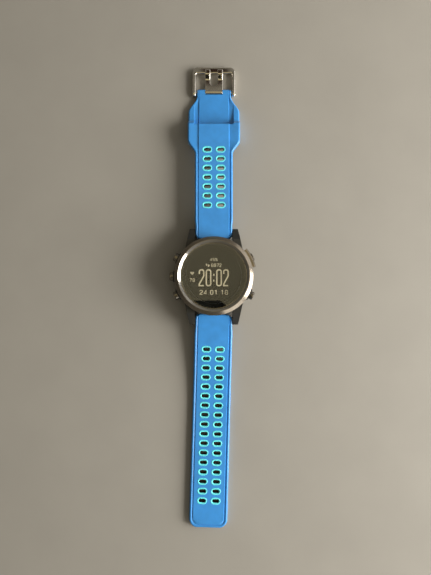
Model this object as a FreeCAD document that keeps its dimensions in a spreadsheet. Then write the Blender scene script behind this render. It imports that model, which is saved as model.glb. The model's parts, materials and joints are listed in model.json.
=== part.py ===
import FreeCAD, Part
import math
import os
import re
import Sketcher

# A round golf watch with a metal bezel, five push buttons and a two-part silicone strap.
# X points to 3 o'clock, Y to 12 o'clock and Z up out of the dial. The origin is the centre of
# the flat sensor window on the back, which is the face that the watch rests on.
# Each strap half is drawn along +Y in a frame of its own, whose origin is below its lug pin.

DIMENSIONS = {
    # Case middle: a ring with a cavity, two flats facing the straps and four lugs
    "case_radius": 20.9,
    "cavity_radius": 17.9,
    "case_bottom": 2.3,
    "case_top": 11.2,
    "case_flat": 19.5,
    "case_chamfer": 0.9,
    "spigot_radius": 18.5,
    "spigot_top": 11.8,
    "screw_boss_radius": 1.9,
    "screw_boss_top": 7.4,
    # Lugs and their pins
    "lug_inner": 10.1,
    "lug_root_x": 15.2,
    "lug_root_y": 14.5,
    "lug_tip_x": 12.9,
    "lug_tip_y": 25.7,
    "lug_top": 10.7,
    "lug_shoulder_y": 19.6,
    "lug_shoulder_top": 10.4,
    "lug_tip_top": 7.7,
    "lug_bottom": 1.7,
    "pin_y": 22.6,
    "pin_z": 4.6,
    "pin_radius": 0.9,
    "pin_half_length": 11.9,
    "lug_screw_radius": 1.15,
    "lug_screw_length": 1.3,
    # Bezel, lens and their seals
    "bezel_radius": 20.8,
    "bezel_foot_radius": 20.6,
    "bezel_waist_top": 12.8,
    "bezel_crest_outer": 18.85,
    "bezel_crest_inner": 18.65,
    "bezel_crest_z": 14.4,
    "bezel_mouth_radius": 17.5,
    "bezel_mouth_z": 13.7,
    "lens_seat_radius": 17.95,
    "lens_seat_z": 12.3,
    "lens_ledge_radius": 17.0,
    "lens_radius": 17.45,
    "lens_bottom": 12.35,
    "lens_top": 13.7,
    "lens_bevel": 0.25,
    "seat_gap": 0.02,
    "gasket_top": 13.08,
    "bezel_groove_inner": 18.7,
    "bezel_groove_outer": 19.3,
    "bezel_groove_depth": 0.5,
    # Display stack
    "panel_radius": 14.5,
    "panel_bottom": 11.15,
    "panel_top": 12.1,
    "surround_radius": 16.95,
    "surround_bottom": 11.0,
    "surround_top": 12.3,
    "surround_clearance": 0.05,
    "backlight_radius": 14.3,
    "backlight_bottom": 10.7,
    "backlight_top": 11.1,
    "chassis_radius": 16.2,
    "chassis_bottom": 10.0,
    "chassis_top": 10.6,
    "chassis_window": 8.0,
    "antenna_inner": 16.5,
    "antenna_outer": 17.6,
    "antenna_bottom": 10.05,
    "antenna_top": 10.95,
    "antenna_sweep": 330.0,
    # Main board and what it carries
    "board_radius": 17.3,
    "board_bottom": 9.2,
    "board_top": 10.0,
    "chip_height": 0.8,
    "processor_side": 7.0,
    "memory_side": 4.5,
    "radio_side": 3.6,
    "chip_spacing": 8.5,
    "battery_width": 20.0,
    "battery_length": 17.0,
    "battery_bottom": 4.8,
    "battery_top": 8.2,
    "battery_corner": 2.0,
    "motor_radius": 3.8,
    "motor_height": 2.7,
    "buzzer_height": 1.8,
    "round_part_y": 13.0,
    "pressure_radius": 1.5,
    "pressure_height": 1.2,
    "pressure_x": 6.7,
    "pressure_y": -13.2,
    # Buttons: every distance is measured from the watch's axis along the button's own axis
    "button_z": 7.0,
    "button_cap_radius": 2.2,
    "button_face": 23.6,
    "button_edge": 0.35,
    "button_cap_back": 21.0,
    "button_hole_radius": 2.3,
    "button_hole_floor": 19.8,
    "button_boss_radius": 3.1,
    "button_boss_face": 21.6,
    "stem_radius": 1.0,
    "stem_bore_radius": 1.05,
    "stem_end": 17.0,
    "clip_groove_radius": 0.75,
    "clip_inner": 17.3,
    "clip_outer": 17.6,
    "clip_radius": 1.9,
    "clip_gap": 0.03,
    "seal_inner": 18.4,
    "seal_outer": 18.96,
    "seal_groove_radius": 1.6,
    "seal_ring_radius": 1.32,
    "seal_wire_radius": 0.27,
    "spring_wire": 0.22,
    "spring_radius": 1.6,
    "spring_turns": 3.0,
    "switch_inner": 14.6,
    "switch_outer": 16.3,
    "switch_width": 2.6,
    "switch_height": 2.2,
    "flex_inner": 14.2,
    "flex_outer": 14.5,
    "flex_bottom": 5.6,
    "flex_sweep": 66.0,
    # Metal guard around the start button
    "guard_inner": 20.95,
    "guard_outer": 22.8,
    "guard_bottom": 4.0,
    "guard_top": 10.6,
    "guard_chamfer": 0.7,
    "guard_start": 13.0,
    "guard_sweep": 27.0,
    # Back cover, sensor window and charging contacts
    "cover_radius": 20.0,
    "cover_bottom": 0.9,
    "cover_chamfer": 0.6,
    "cover_hole_radius": 8.15,
    "back_gasket_inner": 18.45,
    "back_gasket_outer": 19.05,
    "back_gasket_height": 0.5,
    "back_groove_inner": 18.4,
    "back_groove_outer": 19.1,
    "screw_circle_radius": 16.3,
    "screw_head_radius": 1.2,
    "screw_head_height": 0.6,
    "screw_shank_radius": 0.75,
    "screw_hole_radius": 0.8,
    "screw_tip_z": 6.0,
    "window_face_radius": 6.2,
    "window_radius": 8.1,
    "window_shoulder_z": 1.2,
    "window_flange_radius": 9.2,
    "window_flange_top": 2.9,
    "window_recess_radius": 7.2,
    "window_recess_z": 1.4,
    "sensor_board_radius": 8.5,
    "sensor_board_bottom": 3.9,
    "sensor_board_top": 4.5,
    "led_side": 1.6,
    "led_bottom": 2.9,
    "led_circle_radius": 3.6,
    "charger_y": -12.8,
    "charger_width": 7.0,
    "charger_length": 2.6,
    "charger_bottom": 1.2,
    "charger_top": 3.4,
    "charger_gap": 0.05,
    "contact_radius": 0.4,
    "contact_pitch": 1.6,
    "contact_bottom": 1.05,
    "contact_top": 3.6,
    # Strap, both halves
    "strap_end_width": 19.8,
    "strap_full_width": 20.4,
    "strap_thickness": 2.6,
    "strap_panel_width": 16.4,
    "strap_panel_step": 0.3,
    "strap_shoulder_y": -1.5,
    "strap_waist_y": 4.8,
    "strap_wide_y": 7.2,
    "knuckle_radius": 2.5,
    "knuckle_neck_y": -2.3,
    "knuckle_neck_drop": 0.5,
    "knuckle_blend_y": 3.4,
    "strap_bore_radius": 1.25,
    "slot_pitch": 5.045,
    "upper_slot_first_y": 15.8,
    "lower_slot_first_y": 16.5,
    "slot_column_x": 3.6,
    "slot_length": 3.7,
    "slot_width": 1.75,
    "liner_length": 5.4,
    "liner_width": 3.65,
    "lean_angle": 1.6,
    # Quick-release latch below each strap end
    "latch_block_width": 14.0,
    "latch_block_y": 10.6,
    "latch_block_bottom": 3.0,
    "latch_recess_width": 11.0,
    "latch_recess_start": 3.2,
    "latch_recess_end": 9.6,
    "latch_recess_top": 5.0,
    "latch_plate_bottom": 4.5,
    "latch_slider_width": 6.0,
    "latch_slider_end": 7.2,
    "latch_slider_bottom": 3.3,
    "latch_grip_bottom": 2.6,
    "latch_grip_length": 1.0,
    "latch_gap": 0.1,
    "latch_spring_radius": 0.4,
    "latch_spring_wire": 0.16,
    "latch_spring_turns": 5.0,
    # Lower strap half
    "lower_top": 8.0,
    "lower_flat_y": 49.4,
    "lower_end_y": 111.4,
    "lower_corner": 3.4,
    "lower_rows": 17.0,
    # Upper strap half, with the wide moulded loop that the other half tucks into
    "upper_top": 8.3,
    "upper_rows": 7.0,
    "band_edge_y": 60.3,
    "flare_start_y": 44.5,
    "flare_full_y": 51.1,
    "flare_back_y": 69.6,
    "flare_end_y": 77.7,
    "loop_width": 28.3,
    "loop_inner_width": 21.4,
    "post_top_start_y": 47.4,
    "post_foot_y": 55.5,
    "rail_low_y": 66.0,
    "rail_low_z": 3.6,
    "rail_end_y": 72.0,
    "floor_start_y": 57.0,
    "floor_thickness": 2.6,
    "strap_tip_y": 82.2,
    "strap_tip_width": 19.1,
    "notch_width": 9.8,
    "notch_y": 79.1,
    # Buckle
    "buckle_pin_y": 80.7,
    "buckle_pin_z": 1.5,
    "buckle_pin_radius": 0.75,
    "buckle_pin_half_length": 11.7,
    "buckle_strap_bore": 0.85,
    "buckle_frame_bore": 0.8,
    "buckle_width": 23.9,
    "buckle_inner_width": 20.2,
    "buckle_ear_back": 2.3,
    "buckle_bar_inner": 10.5,
    "buckle_bar_outer": 14.3,
    "buckle_corner": 3.0,
    "buckle_bottom": 0.25,
    "buckle_top": 2.75,
    "tongue_barrel_radius": 1.3,
    "tongue_barrel_width": 9.5,
    "tongue_bore": 0.82,
    "tongue_prong_width": 2.9,
    "tongue_prong_spacing": 7.0,
    "tongue_tip_y": 12.2,
    "tongue_rise_y": 9.6,
    "tongue_thickness": 1.1,
    "tongue_lift": 0.08,
    "tongue_cross_y": 3.3,
}

BUTTONS = {"light_button": 153.0, "up_button": 180.0, "down_button": 207.0,
           "start_button": 27.0, "back_button": -27.0}
GUARDED_BUTTON = "start_button"
SCREW_ANGLES = (45.0, 135.0, 225.0, 315.0)
AXIS_Z = FreeCAD.Vector(0, 0, 1)
AXIS_Y = FreeCAD.Vector(0, 1, 0)
AXIS_X = FreeCAD.Vector(1, 0, 0)

doc = FreeCAD.newDocument("golf_watch")
sheet = doc.addObject("Spreadsheet::Sheet", "Dims")
for row, (alias, number) in enumerate(DIMENSIONS.items(), start=1):
    sheet.set("A%d" % row, alias)
    sheet.set("B%d" % row, str(number))
    sheet.setAlias("B%d" % row, alias)
doc.recompute()


# ---------------------------------------------------------------- expressions and sketches

def size(expression):
    """The value of an expression written in the sheet's aliases."""
    return float(sheet.evalExpression(str(expression)))


def bound(expression):
    """The same expression, with each alias read from the sheet by another object."""
    def with_sheet(word):
        return "Dims." + word.group() if word.group() in DIMENSIONS else word.group()
    return re.sub(r"[a-z][a-z0-9_]*", with_sheet, str(expression))


def bind(thing, name, expression):
    """Set one property of an object to an expression of the sheet."""
    thing.setExpression(name, bound(expression))


def new_body(label):
    body = doc.addObject("PartDesign::Body", label)
    body.AllowCompound = True
    return body


def origin_part(body, role):
    return [part for part in body.Origin.OriginFeatures if part.Role == role][0]


def new_sketch(body, role):
    sketch = body.newObject("Sketcher::SketchObject", body.Label + "_sketch")
    sketch.AttachmentSupport = [(origin_part(body, role), "")]
    sketch.MapMode = "FlatFace"
    return sketch


def hold(sketch, kind, numbers, expression):
    """Add one driving constraint and tie it to its expression."""
    value = size(expression)
    index = sketch.addConstraint(Sketcher.Constraint(kind, *numbers, value))
    if abs(value) > 0:
        sketch.setExpression("Constraints[%d]" % index, bound(expression))


def arc_between(start, end, radius, turn):
    """The short arc from start to end; turn is 1 to bulge right of the way, -1 to bulge left."""
    chord = end - start
    middle = (start + end) * 0.5
    reach = math.sqrt(max(radius ** 2 - (chord.Length * 0.5) ** 2, 0.0))
    left = FreeCAD.Vector(-chord.y, chord.x, 0).normalize()
    centre = middle + left * (reach * turn)
    first = math.atan2(start.y - centre.y, start.x - centre.x)
    last = math.atan2(end.y - centre.y, end.x - centre.x)
    if turn < 0:
        first, last = last, first
    circle = Part.Circle(centre, AXIS_Z, radius)
    return Part.ArcOfCircle(circle, first, last if last > first else last + 2 * math.pi)


def outline(sketch, corners):
    """Draw a closed outline. A corner is (x, y), or (x, y, radius, turn) to leave it on an arc."""
    points = [FreeCAD.Vector(size(c[0]), size(c[1]), 0) for c in corners]
    drawn = []
    for i, corner in enumerate(corners):
        start, end = points[i], points[(i + 1) % len(points)]
        if len(corner) == 2:
            drawn.append((sketch.addGeometry(Part.LineSegment(start, end), False), 1, 2))
            continue
        arc = arc_between(start, end, size(corner[2]), corner[3])
        index = sketch.addGeometry(arc, False)
        drawn.append((index, 1, 2) if corner[3] > 0 else (index, 2, 1))
        following = corners[(i + 1) % len(corners)]
        if 2 * size(corner[2]) - (end - start).Length > 0.001:
            hold(sketch, "Radius", (index,), corner[2])
        elif abs(end.x - start.x) > abs(end.y - start.y):
            hold(sketch, "DistanceY", (-1, 1, index, 3), "(%s + %s) / 2" % (corner[1], following[1]))
        else:
            hold(sketch, "DistanceX", (-1, 1, index, 3), "(%s + %s) / 2" % (corner[0], following[0]))
    for i, (index, _, last) in enumerate(drawn):
        following, first, _ = drawn[(i + 1) % len(drawn)]
        sketch.addConstraint(Sketcher.Constraint("Coincident", index, last, following, first))
    for corner, (index, first, _) in zip(corners, drawn):
        hold(sketch, "DistanceX", (-1, 1, index, first), corner[0])
        hold(sketch, "DistanceY", (-1, 1, index, first), corner[1])


def circle(sketch, across, up, radius):
    centre = FreeCAD.Vector(size(across), size(up), 0)
    index = sketch.addGeometry(Part.Circle(centre, AXIS_Z, size(radius)), False)
    hold(sketch, "Radius", (index,), radius)
    hold(sketch, "DistanceX", (-1, 1, index, 3), across)
    hold(sketch, "DistanceY", (-1, 1, index, 3), up)


def rectangle(sketch, left, right, bottom, top):
    outline(sketch, [(left, bottom), (right, bottom), (right, top), (left, top)])


def stadium(sketch, across, up, length, width):
    """A slot with round ends, longer across than up."""
    half = "(%s - %s) / 2" % (length, width)
    left, right = "%s - %s" % (across, half), "%s + %s" % (across, half)
    low, high = "%s - %s / 2" % (up, width), "%s + %s / 2" % (up, width)
    end = "%s / 2" % width
    outline(sketch, [(left, low), (right, low, end, 1), (right, high), (left, high, end, 1)])


# ------------------------------------------------------------------------- features

def pad(body, sketch, length, both_ways=False, back=False):
    feature = body.newObject("PartDesign::Pad", body.Label + "_pad")
    feature.Profile = sketch
    feature.Midplane = both_ways
    feature.Reversed = back
    bind(feature, "Length", length)
    return feature


def pocket(body, sketch, length, both_ways=True):
    feature = body.newObject("PartDesign::Pocket", body.Label + "_pocket")
    feature.Profile = sketch
    feature.Midplane = both_ways
    bind(feature, "Length", length)
    return feature


def revolve(body, sketch, angle=360.0):
    feature = body.newObject("PartDesign::Revolution", body.Label + "_turned")
    feature.Profile = sketch
    feature.ReferenceAxis = (sketch, ["V_Axis"])
    feature.Angle = angle
    return feature


def repeat_around(body, feature, count):
    pattern = body.newObject("PartDesign::PolarPattern", body.Label + "_around")
    pattern.Originals = [feature]
    pattern.Axis = (origin_part(body, "Z_Axis"), [""])
    pattern.Angle = 360.0
    pattern.Occurrences = count
    body.Tip = pattern


def repeat_along(body, feature, pitch, count):
    pattern = body.newObject("PartDesign::LinearPattern", body.Label + "_along")
    pattern.Originals = [feature]
    pattern.Direction = (origin_part(body, "Y_Axis"), [""])
    bind(pattern, "Length", "%s * (%s - 1)" % (pitch, count))
    bind(pattern, "Occurrences", count)
    body.Tip = pattern


def turned(label, corners, angle=360.0):
    """A body turned about Z from an outline of (radius, height) corners."""
    body = new_body(label)
    sketch = new_sketch(body, "XZ_Plane")
    outline(sketch, corners)
    revolve(body, sketch, angle)
    return body


def ring(label, inner, outer, bottom, top):
    return turned(label, [(inner, bottom), (outer, bottom), (outer, top), (inner, top)])


def disc(label, radius, bottom, top, across="0", up="0", frame=FreeCAD.Placement()):
    """A cylinder along the Z of a frame."""
    solid = doc.addObject("Part::Cylinder", label)
    bind(solid, "Radius", radius)
    bind(solid, "Height", "%s - (%s)" % (top, bottom))
    foot = FreeCAD.Vector(size(across), size(up), size(bottom))
    solid.Placement = frame.multiply(FreeCAD.Placement(foot, FreeCAD.Rotation()))
    return solid


def block(label, left, right, front, back, bottom, top, frame=FreeCAD.Placement()):
    """A box along the axes of a frame."""
    solid = doc.addObject("Part::Box", label)
    bind(solid, "Length", "%s - (%s)" % (right, left))
    bind(solid, "Width", "%s - (%s)" % (back, front))
    bind(solid, "Height", "%s - (%s)" % (top, bottom))
    corner = FreeCAD.Vector(size(left), size(front), size(bottom))
    solid.Placement = frame.multiply(FreeCAD.Placement(corner, FreeCAD.Rotation()))
    return solid


def joined(label, solids):
    fused = doc.addObject("Part::MultiFuse", label)
    fused.Shapes = solids
    return fused


def grouped(label, solids):
    """Separate solids that share one node."""
    group = doc.addObject("Part::Compound", label)
    group.Links = solids
    return group


def cut(label, base, tools):
    result = doc.addObject("Part::Cut", label)
    result.Base = base
    result.Tool = joined(label + "_tools", tools) if len(tools) > 1 else tools[0]
    return result


def along_button(angle):
    """The placement that turns +Z outwards along a button's axis."""
    turn = FreeCAD.Rotation(AXIS_Z, angle) * FreeCAD.Rotation(AXIS_Y, 90)
    return FreeCAD.Placement(FreeCAD.Vector(0, 0, size("button_z")), turn)


def button_disc(label, radius, near, far, angle):
    """A cylinder on a button's axis between two distances from the watch's axis."""
    return disc(label, radius, near, far, frame=along_button(angle))


def cross_bar(label, radius, left, right, up, height, frame=FreeCAD.Placement()):
    """A cylinder along X."""
    centre = FreeCAD.Vector(0, size(up), size(height))
    lying = frame.multiply(FreeCAD.Placement(centre, FreeCAD.Rotation(AXIS_Y, 90)))
    return disc(label, radius, left, right, frame=lying)


def coil(label, radius, wire, turns, length, placement):
    """A spring of square wire, wound about its own Z, with a little play between its seats."""
    reach, half, play = size(radius), size(wire) / 2, 0.02
    rise = size(length) - 2 * (half + play)
    corners = [FreeCAD.Vector(reach + half * across, 0, half * up)
               for across, up in ((-1, -1), (1, -1), (1, 1), (-1, 1), (-1, -1))]
    helix = Part.Wire(Part.makeHelix(rise / size(turns), rise, reach).Edges)
    spring = doc.addObject("Part::Feature", label)
    spring.Shape = helix.makePipeShell([Part.makePolygon(corners)], True, True)
    lift = FreeCAD.Placement(FreeCAD.Vector(0, 0, half + play), FreeCAD.Rotation())
    spring.Placement = placement.multiply(lift)


# ------------------------------------------------------------------------------- case

def lug_blank():
    """The lug at +X, +Y: a side profile along X, trimmed to its plan."""
    body = new_body("lug_blank")
    side = new_sketch(body, "YZ_Plane")
    outline(side, [("lug_root_y - 1", "case_bottom + 0.4"), ("lug_shoulder_y", "lug_bottom + 0.3"),
                   ("lug_tip_y - 1.2", "lug_bottom", "1.2", 1), ("lug_tip_y", "lug_bottom + 1.2"),
                   ("lug_tip_y", "lug_tip_top - 1.2", "1.2", 1),
                   ("lug_tip_y - 1.1", "lug_tip_top - 0.05"),
                   ("lug_shoulder_y", "lug_shoulder_top"), ("lug_root_y - 1", "lug_top")])
    pad(body, side, "lug_root_x + 1")
    plan = new_sketch(body, "XY_Plane")
    outline(plan, [("lug_root_x + 0.1 * (lug_root_x - lug_tip_x)", "lug_root_y - 1.1"),
                   ("lug_root_x + 3", "lug_root_y - 1.1"), ("lug_root_x + 3", "lug_tip_y + 1"),
                   ("lug_tip_x - 0.1 * (lug_root_x - lug_tip_x)", "lug_tip_y + 1")])
    pocket(body, plan, "4 * case_top")
    inner = new_sketch(body, "XY_Plane")
    rectangle(inner, "-1", "lug_inner", "lug_root_y - 2", "lug_tip_y + 2")
    pocket(body, inner, "4 * case_top")
    return body


def mirrored(label, source, normal):
    copy = doc.addObject("Part::Mirroring", label)
    copy.Source = source
    copy.Normal = normal
    return copy


def case_ring():
    """The ring of the case: cavity, spigot that centres the bezel, and two seal grooves."""
    body = new_body("case_ring")
    sketch = new_sketch(body, "XZ_Plane")
    outline(sketch, [
        ("cavity_radius", "case_bottom"),
        ("back_groove_inner", "case_bottom"),
        ("back_groove_inner", "case_bottom + back_gasket_height"),
        ("back_groove_outer", "case_bottom + back_gasket_height"),
        ("back_groove_outer", "case_bottom"),
        ("case_radius - case_chamfer", "case_bottom"),
        ("case_radius", "case_bottom + case_chamfer"),
        ("case_radius", "case_top - 0.4"),
        ("case_radius - 0.3", "case_top"),
        ("bezel_groove_outer", "case_top"),
        ("bezel_groove_outer", "case_top - bezel_groove_depth"),
        ("bezel_groove_inner", "case_top - bezel_groove_depth"),
        ("bezel_groove_inner", "case_top"),
        ("spigot_radius", "case_top"),
        ("spigot_radius", "spigot_top"),
        ("cavity_radius", "spigot_top")])
    revolve(body, sketch)
    flats = new_sketch(body, "XY_Plane")
    for front, back in (("case_flat", "case_radius + 1"), ("-case_radius - 1", "-case_flat")):
        rectangle(flats, "-lug_inner", "lug_inner", front, back)
    pocket(body, flats, "4 * case_top")
    return body


def mid_case():
    lug = lug_blank()
    across = mirrored("lug_left", lug, AXIS_X)
    lugs = [lug, across, mirrored("lug_right_low", lug, AXIS_Y), mirrored("lug_left_low", across, AXIS_Y)]
    inside = [disc("ring_space", "back_groove_outer", "0", "case_top + 1"),
              disc("cover_space", "cover_radius", "0", "case_bottom")]
    solids = [case_ring(), cut("lugs", joined("four_lugs", lugs), inside)]
    tools = []
    for angle in SCREW_ANGLES:
        across = "screw_circle_radius * cos(%g)" % angle
        up = "screw_circle_radius * sin(%g)" % angle
        solids.append(disc("screw_boss", "screw_boss_radius", "case_bottom", "screw_boss_top", across, up))
        tools.append(disc("screw_hole", "screw_hole_radius", "0", "screw_tip_z + 0.3", across, up))
    for name, angle in BUTTONS.items():
        if name != GUARDED_BUTTON:
            solids.append(button_disc("button_boss", "button_boss_radius", "cavity_radius + 1",
                                      "button_boss_face", angle))
        tools.append(button_disc("stem_bore", "stem_bore_radius", "stem_end - 1", "button_face", angle))
        tools.append(button_disc("seal_groove", "seal_groove_radius", "seal_inner", "seal_outer", angle))
        tools.append(button_disc("button_hole", "button_hole_radius", "button_hole_floor",
                                 "button_face", angle))
    for up in ("pin_y", "-pin_y"):
        tools.append(cross_bar("pin_hole", "pin_radius", "-lug_root_x", "lug_root_x", up, "pin_z"))
        for left, right in (("-lug_root_x", "-pin_half_length"), ("pin_half_length", "lug_root_x")):
            tools.append(cross_bar("screw_seat", "lug_screw_radius", left, right, up, "pin_z"))
    cut("mid_case", joined("case_solids", solids), tools)


def bezel():
    turned("bezel", [
        ("spigot_radius + seat_gap", "case_top"), ("bezel_foot_radius", "case_top"),
        ("bezel_radius", "bezel_waist_top - 0.6"), ("bezel_radius - 0.06", "bezel_waist_top"),
        ("bezel_crest_outer", "bezel_crest_z"), ("bezel_crest_inner", "bezel_crest_z"),
        ("bezel_mouth_radius", "bezel_mouth_z"), ("bezel_mouth_radius", "gasket_top + seat_gap"),
        ("lens_seat_radius", "gasket_top + seat_gap"), ("lens_seat_radius", "lens_seat_z"),
        ("lens_ledge_radius", "lens_seat_z"), ("lens_ledge_radius", "spigot_top + seat_gap"),
        ("spigot_radius + seat_gap", "spigot_top + seat_gap")])


def lens_and_seals():
    turned("lens", [("0", "lens_bottom"), ("lens_radius", "lens_bottom"),
                    ("lens_radius", "lens_top - lens_bevel"), ("lens_radius - lens_bevel", "lens_top"),
                    ("0", "lens_top")])
    ring("lens_gasket", "lens_radius", "lens_seat_radius", "lens_seat_z", "gasket_top")
    ring("bezel_gasket", "bezel_groove_inner + 0.05", "bezel_groove_outer - 0.05",
         "case_top - bezel_groove_depth", "case_top")
    ring("back_gasket", "back_gasket_inner", "back_gasket_outer", "case_bottom",
         "case_bottom + back_gasket_height")


def display_stack():
    disc("display_panel", "panel_radius", "panel_bottom", "panel_top")
    ring("display_surround", "panel_radius + surround_clearance", "surround_radius",
         "surround_bottom", "surround_top")
    disc("backlight_plate", "backlight_radius", "backlight_bottom", "backlight_top")
    ring("chassis_frame", "chassis_window", "chassis_radius", "chassis_bottom", "chassis_top")
    antenna = turned("gps_antenna", [
        ("antenna_inner", "antenna_bottom"), ("antenna_outer", "antenna_bottom"),
        ("antenna_outer", "antenna_top"), ("antenna_inner", "antenna_top")], size("antenna_sweep"))
    antenna.Placement.Rotation = FreeCAD.Rotation(AXIS_Z, 105)


def main_board():
    disc("main_board", "board_radius", "board_bottom", "board_top")
    low = "board_bottom - chip_height"
    chips = []
    for side, place in (("processor_side", "0"), ("memory_side", "chip_spacing"),
                        ("radio_side", "-chip_spacing")):
        half = side + " / 2"
        chips.append(block("chip", "%s - %s" % (place, half), "%s + %s" % (place, half),
                           "-" + half, half, low, "board_bottom"))
    grouped("board_chips", chips)
    disc("vibration_motor", "motor_radius", "board_bottom - motor_height", "board_bottom",
         "0", "round_part_y")
    disc("buzzer", "motor_radius", "board_bottom - buzzer_height", "board_bottom",
         "0", "-round_part_y")
    disc("pressure_sensor", "pressure_radius", "board_bottom - pressure_height", "board_bottom",
         "pressure_x", "pressure_y")


def battery():
    body = new_body("battery")
    plan = new_sketch(body, "XY_Plane")
    wide, long_, turn = "battery_width / 2", "battery_length / 2", "battery_corner"
    corners = []
    for x, y, first in ((1, -1, "y"), (1, 1, "x"), (-1, 1, "y"), (-1, -1, "x")):
        on_x = ("%d * (%s - %s)" % (x, wide, turn), "%d * %s" % (y, long_))
        on_y = ("%d * %s" % (x, wide), "%d * (%s - %s)" % (y, long_, turn))
        pair = (on_x, on_y) if first == "y" else (on_y, on_x)
        corners.append(pair[0] + (turn, 1))
        corners.append(pair[1])
    outline(plan, corners)
    pad(body, plan, "battery_top - battery_bottom")
    bind(body, "Placement.Base.z", "battery_bottom")


# ---------------------------------------------------------------------------- buttons

def button(name, angle):
    """One push button with its return spring and the clip that keeps it in the case."""
    cap = turned(name, [
        ("0", "stem_end"), ("stem_radius", "stem_end"), ("stem_radius", "clip_inner"),
        ("clip_groove_radius", "clip_inner"), ("clip_groove_radius", "clip_outer"),
        ("stem_radius", "clip_outer"), ("stem_radius", "button_cap_back"),
        ("button_cap_radius", "button_cap_back"), ("button_cap_radius", "button_face - button_edge"),
        ("button_cap_radius - button_edge", "button_face"), ("0", "button_face")])
    clip = ring(name + "_clip", "clip_groove_radius", "clip_radius", "clip_inner + clip_gap",
                "clip_outer - clip_gap")
    for solid in (cap, clip):
        solid.Placement = along_button(angle)
    floor = FreeCAD.Placement(FreeCAD.Vector(0, 0, size("button_hole_floor")), FreeCAD.Rotation())
    coil(name + "_spring", "spring_radius", "spring_wire", "spring_turns",
         "button_cap_back - button_hole_floor", along_button(angle).multiply(floor))


def button_seals():
    seals = []
    for angle in BUTTONS.values():
        seal = doc.addObject("Part::Torus", "button_seal")
        bind(seal, "Radius1", "seal_ring_radius")
        bind(seal, "Radius2", "seal_wire_radius")
        middle = FreeCAD.Vector(0, 0, size("(seal_inner + seal_outer) / 2"))
        seal.Placement = along_button(angle).multiply(FreeCAD.Placement(middle, FreeCAD.Rotation()))
        seals.append(seal)
    grouped("button_seals", seals)


def button_switches():
    switches = [block("button_switch", "-switch_height / 2", "switch_height / 2",
                      "-switch_width / 2", "switch_width / 2", "switch_inner", "switch_outer",
                      along_button(angle)) for angle in BUTTONS.values()]
    grouped("button_switches", switches)


def button_flex():
    strips = []
    for middle in (0.0, 180.0):
        strip = turned("flex_strip", [
            ("flex_inner", "flex_bottom"), ("flex_outer", "flex_bottom"),
            ("flex_outer", "board_bottom"), ("flex_inner", "board_bottom")], size("flex_sweep"))
        strip.Placement.Rotation = FreeCAD.Rotation(AXIS_Z, middle - size("flex_sweep") / 2)
        strips.append(strip)
    grouped("button_flex", strips)


def start_button_guard():
    """A curved steel plate that stands around the start button."""
    arc = turned("guard_arc", [
        ("guard_inner", "guard_bottom"), ("guard_outer - guard_chamfer", "guard_bottom"),
        ("guard_outer", "guard_bottom + guard_chamfer"), ("guard_outer", "guard_top - guard_chamfer"),
        ("guard_outer - guard_chamfer", "guard_top"), ("guard_inner", "guard_top")],
        size("guard_sweep"))
    arc.Placement.Rotation = FreeCAD.Rotation(AXIS_Z, size("guard_start"))
    hole = button_disc("guard_hole", "button_hole_radius", "cavity_radius", "button_face",
                       BUTTONS[GUARDED_BUTTON])
    cut("start_button_guard", arc, [hole])


# ------------------------------------------------------------------------------- back

def back_cover():
    body = turned("back_cover", [
        ("cover_hole_radius", "cover_bottom"), ("cover_radius - cover_chamfer", "cover_bottom"),
        ("cover_radius", "cover_bottom + cover_chamfer"), ("cover_radius", "case_bottom"),
        ("cover_hole_radius", "case_bottom")])
    charger = new_sketch(body, "XY_Plane")
    half_width = "(charger_width / 2 + charger_gap)"
    half_length = "(charger_length / 2 + charger_gap)"
    rectangle(charger, "-" + half_width, half_width, "charger_y - " + half_length,
              "charger_y + " + half_length)
    pocket(body, charger, "3 * case_bottom")
    for radius, depth in (("screw_hole_radius", "case_bottom + 1"),
                          ("screw_head_radius + 0.05", "cover_bottom + screw_head_height")):
        hole = new_sketch(body, "XY_Plane")
        circle(hole, "screw_circle_radius * cos(45)", "screw_circle_radius * sin(45)", radius)
        drilled = pocket(body, hole, "2 * (%s)" % depth)
        repeat_around(body, drilled, len(SCREW_ANGLES))


def back_screws():
    screws = []
    for angle in SCREW_ANGLES:
        across = "screw_circle_radius * cos(%g)" % angle
        up = "screw_circle_radius * sin(%g)" % angle
        head = disc("screw_head", "screw_head_radius", "cover_bottom",
                    "cover_bottom + screw_head_height", across, up)
        shank = disc("screw_shank", "screw_shank_radius", "cover_bottom + screw_head_height / 2",
                     "screw_tip_z", across, up)
        screws.append(joined("back_screw", [head, shank]))
    grouped("back_screws", screws)


def sensor():
    turned("sensor_window", [
        ("0", "0"), ("window_face_radius", "0"), ("window_radius", "window_shoulder_z"),
        ("window_radius", "case_bottom"), ("window_flange_radius", "case_bottom"),
        ("window_flange_radius", "window_flange_top"), ("window_recess_radius", "window_flange_top"),
        ("window_recess_radius", "window_recess_z"), ("0", "window_recess_z")])
    disc("sensor_board", "sensor_board_radius", "sensor_board_bottom", "sensor_board_top")
    lights = []
    for angle in range(0, 360, 90):
        across = "led_circle_radius * cos(%d)" % angle
        up = "led_circle_radius * sin(%d)" % angle
        lights.append(block("sensor_led", across + " - led_side / 2", across + " + led_side / 2",
                            up + " - led_side / 2", up + " + led_side / 2",
                            "led_bottom", "sensor_board_bottom"))
    grouped("sensor_leds", lights)


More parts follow.
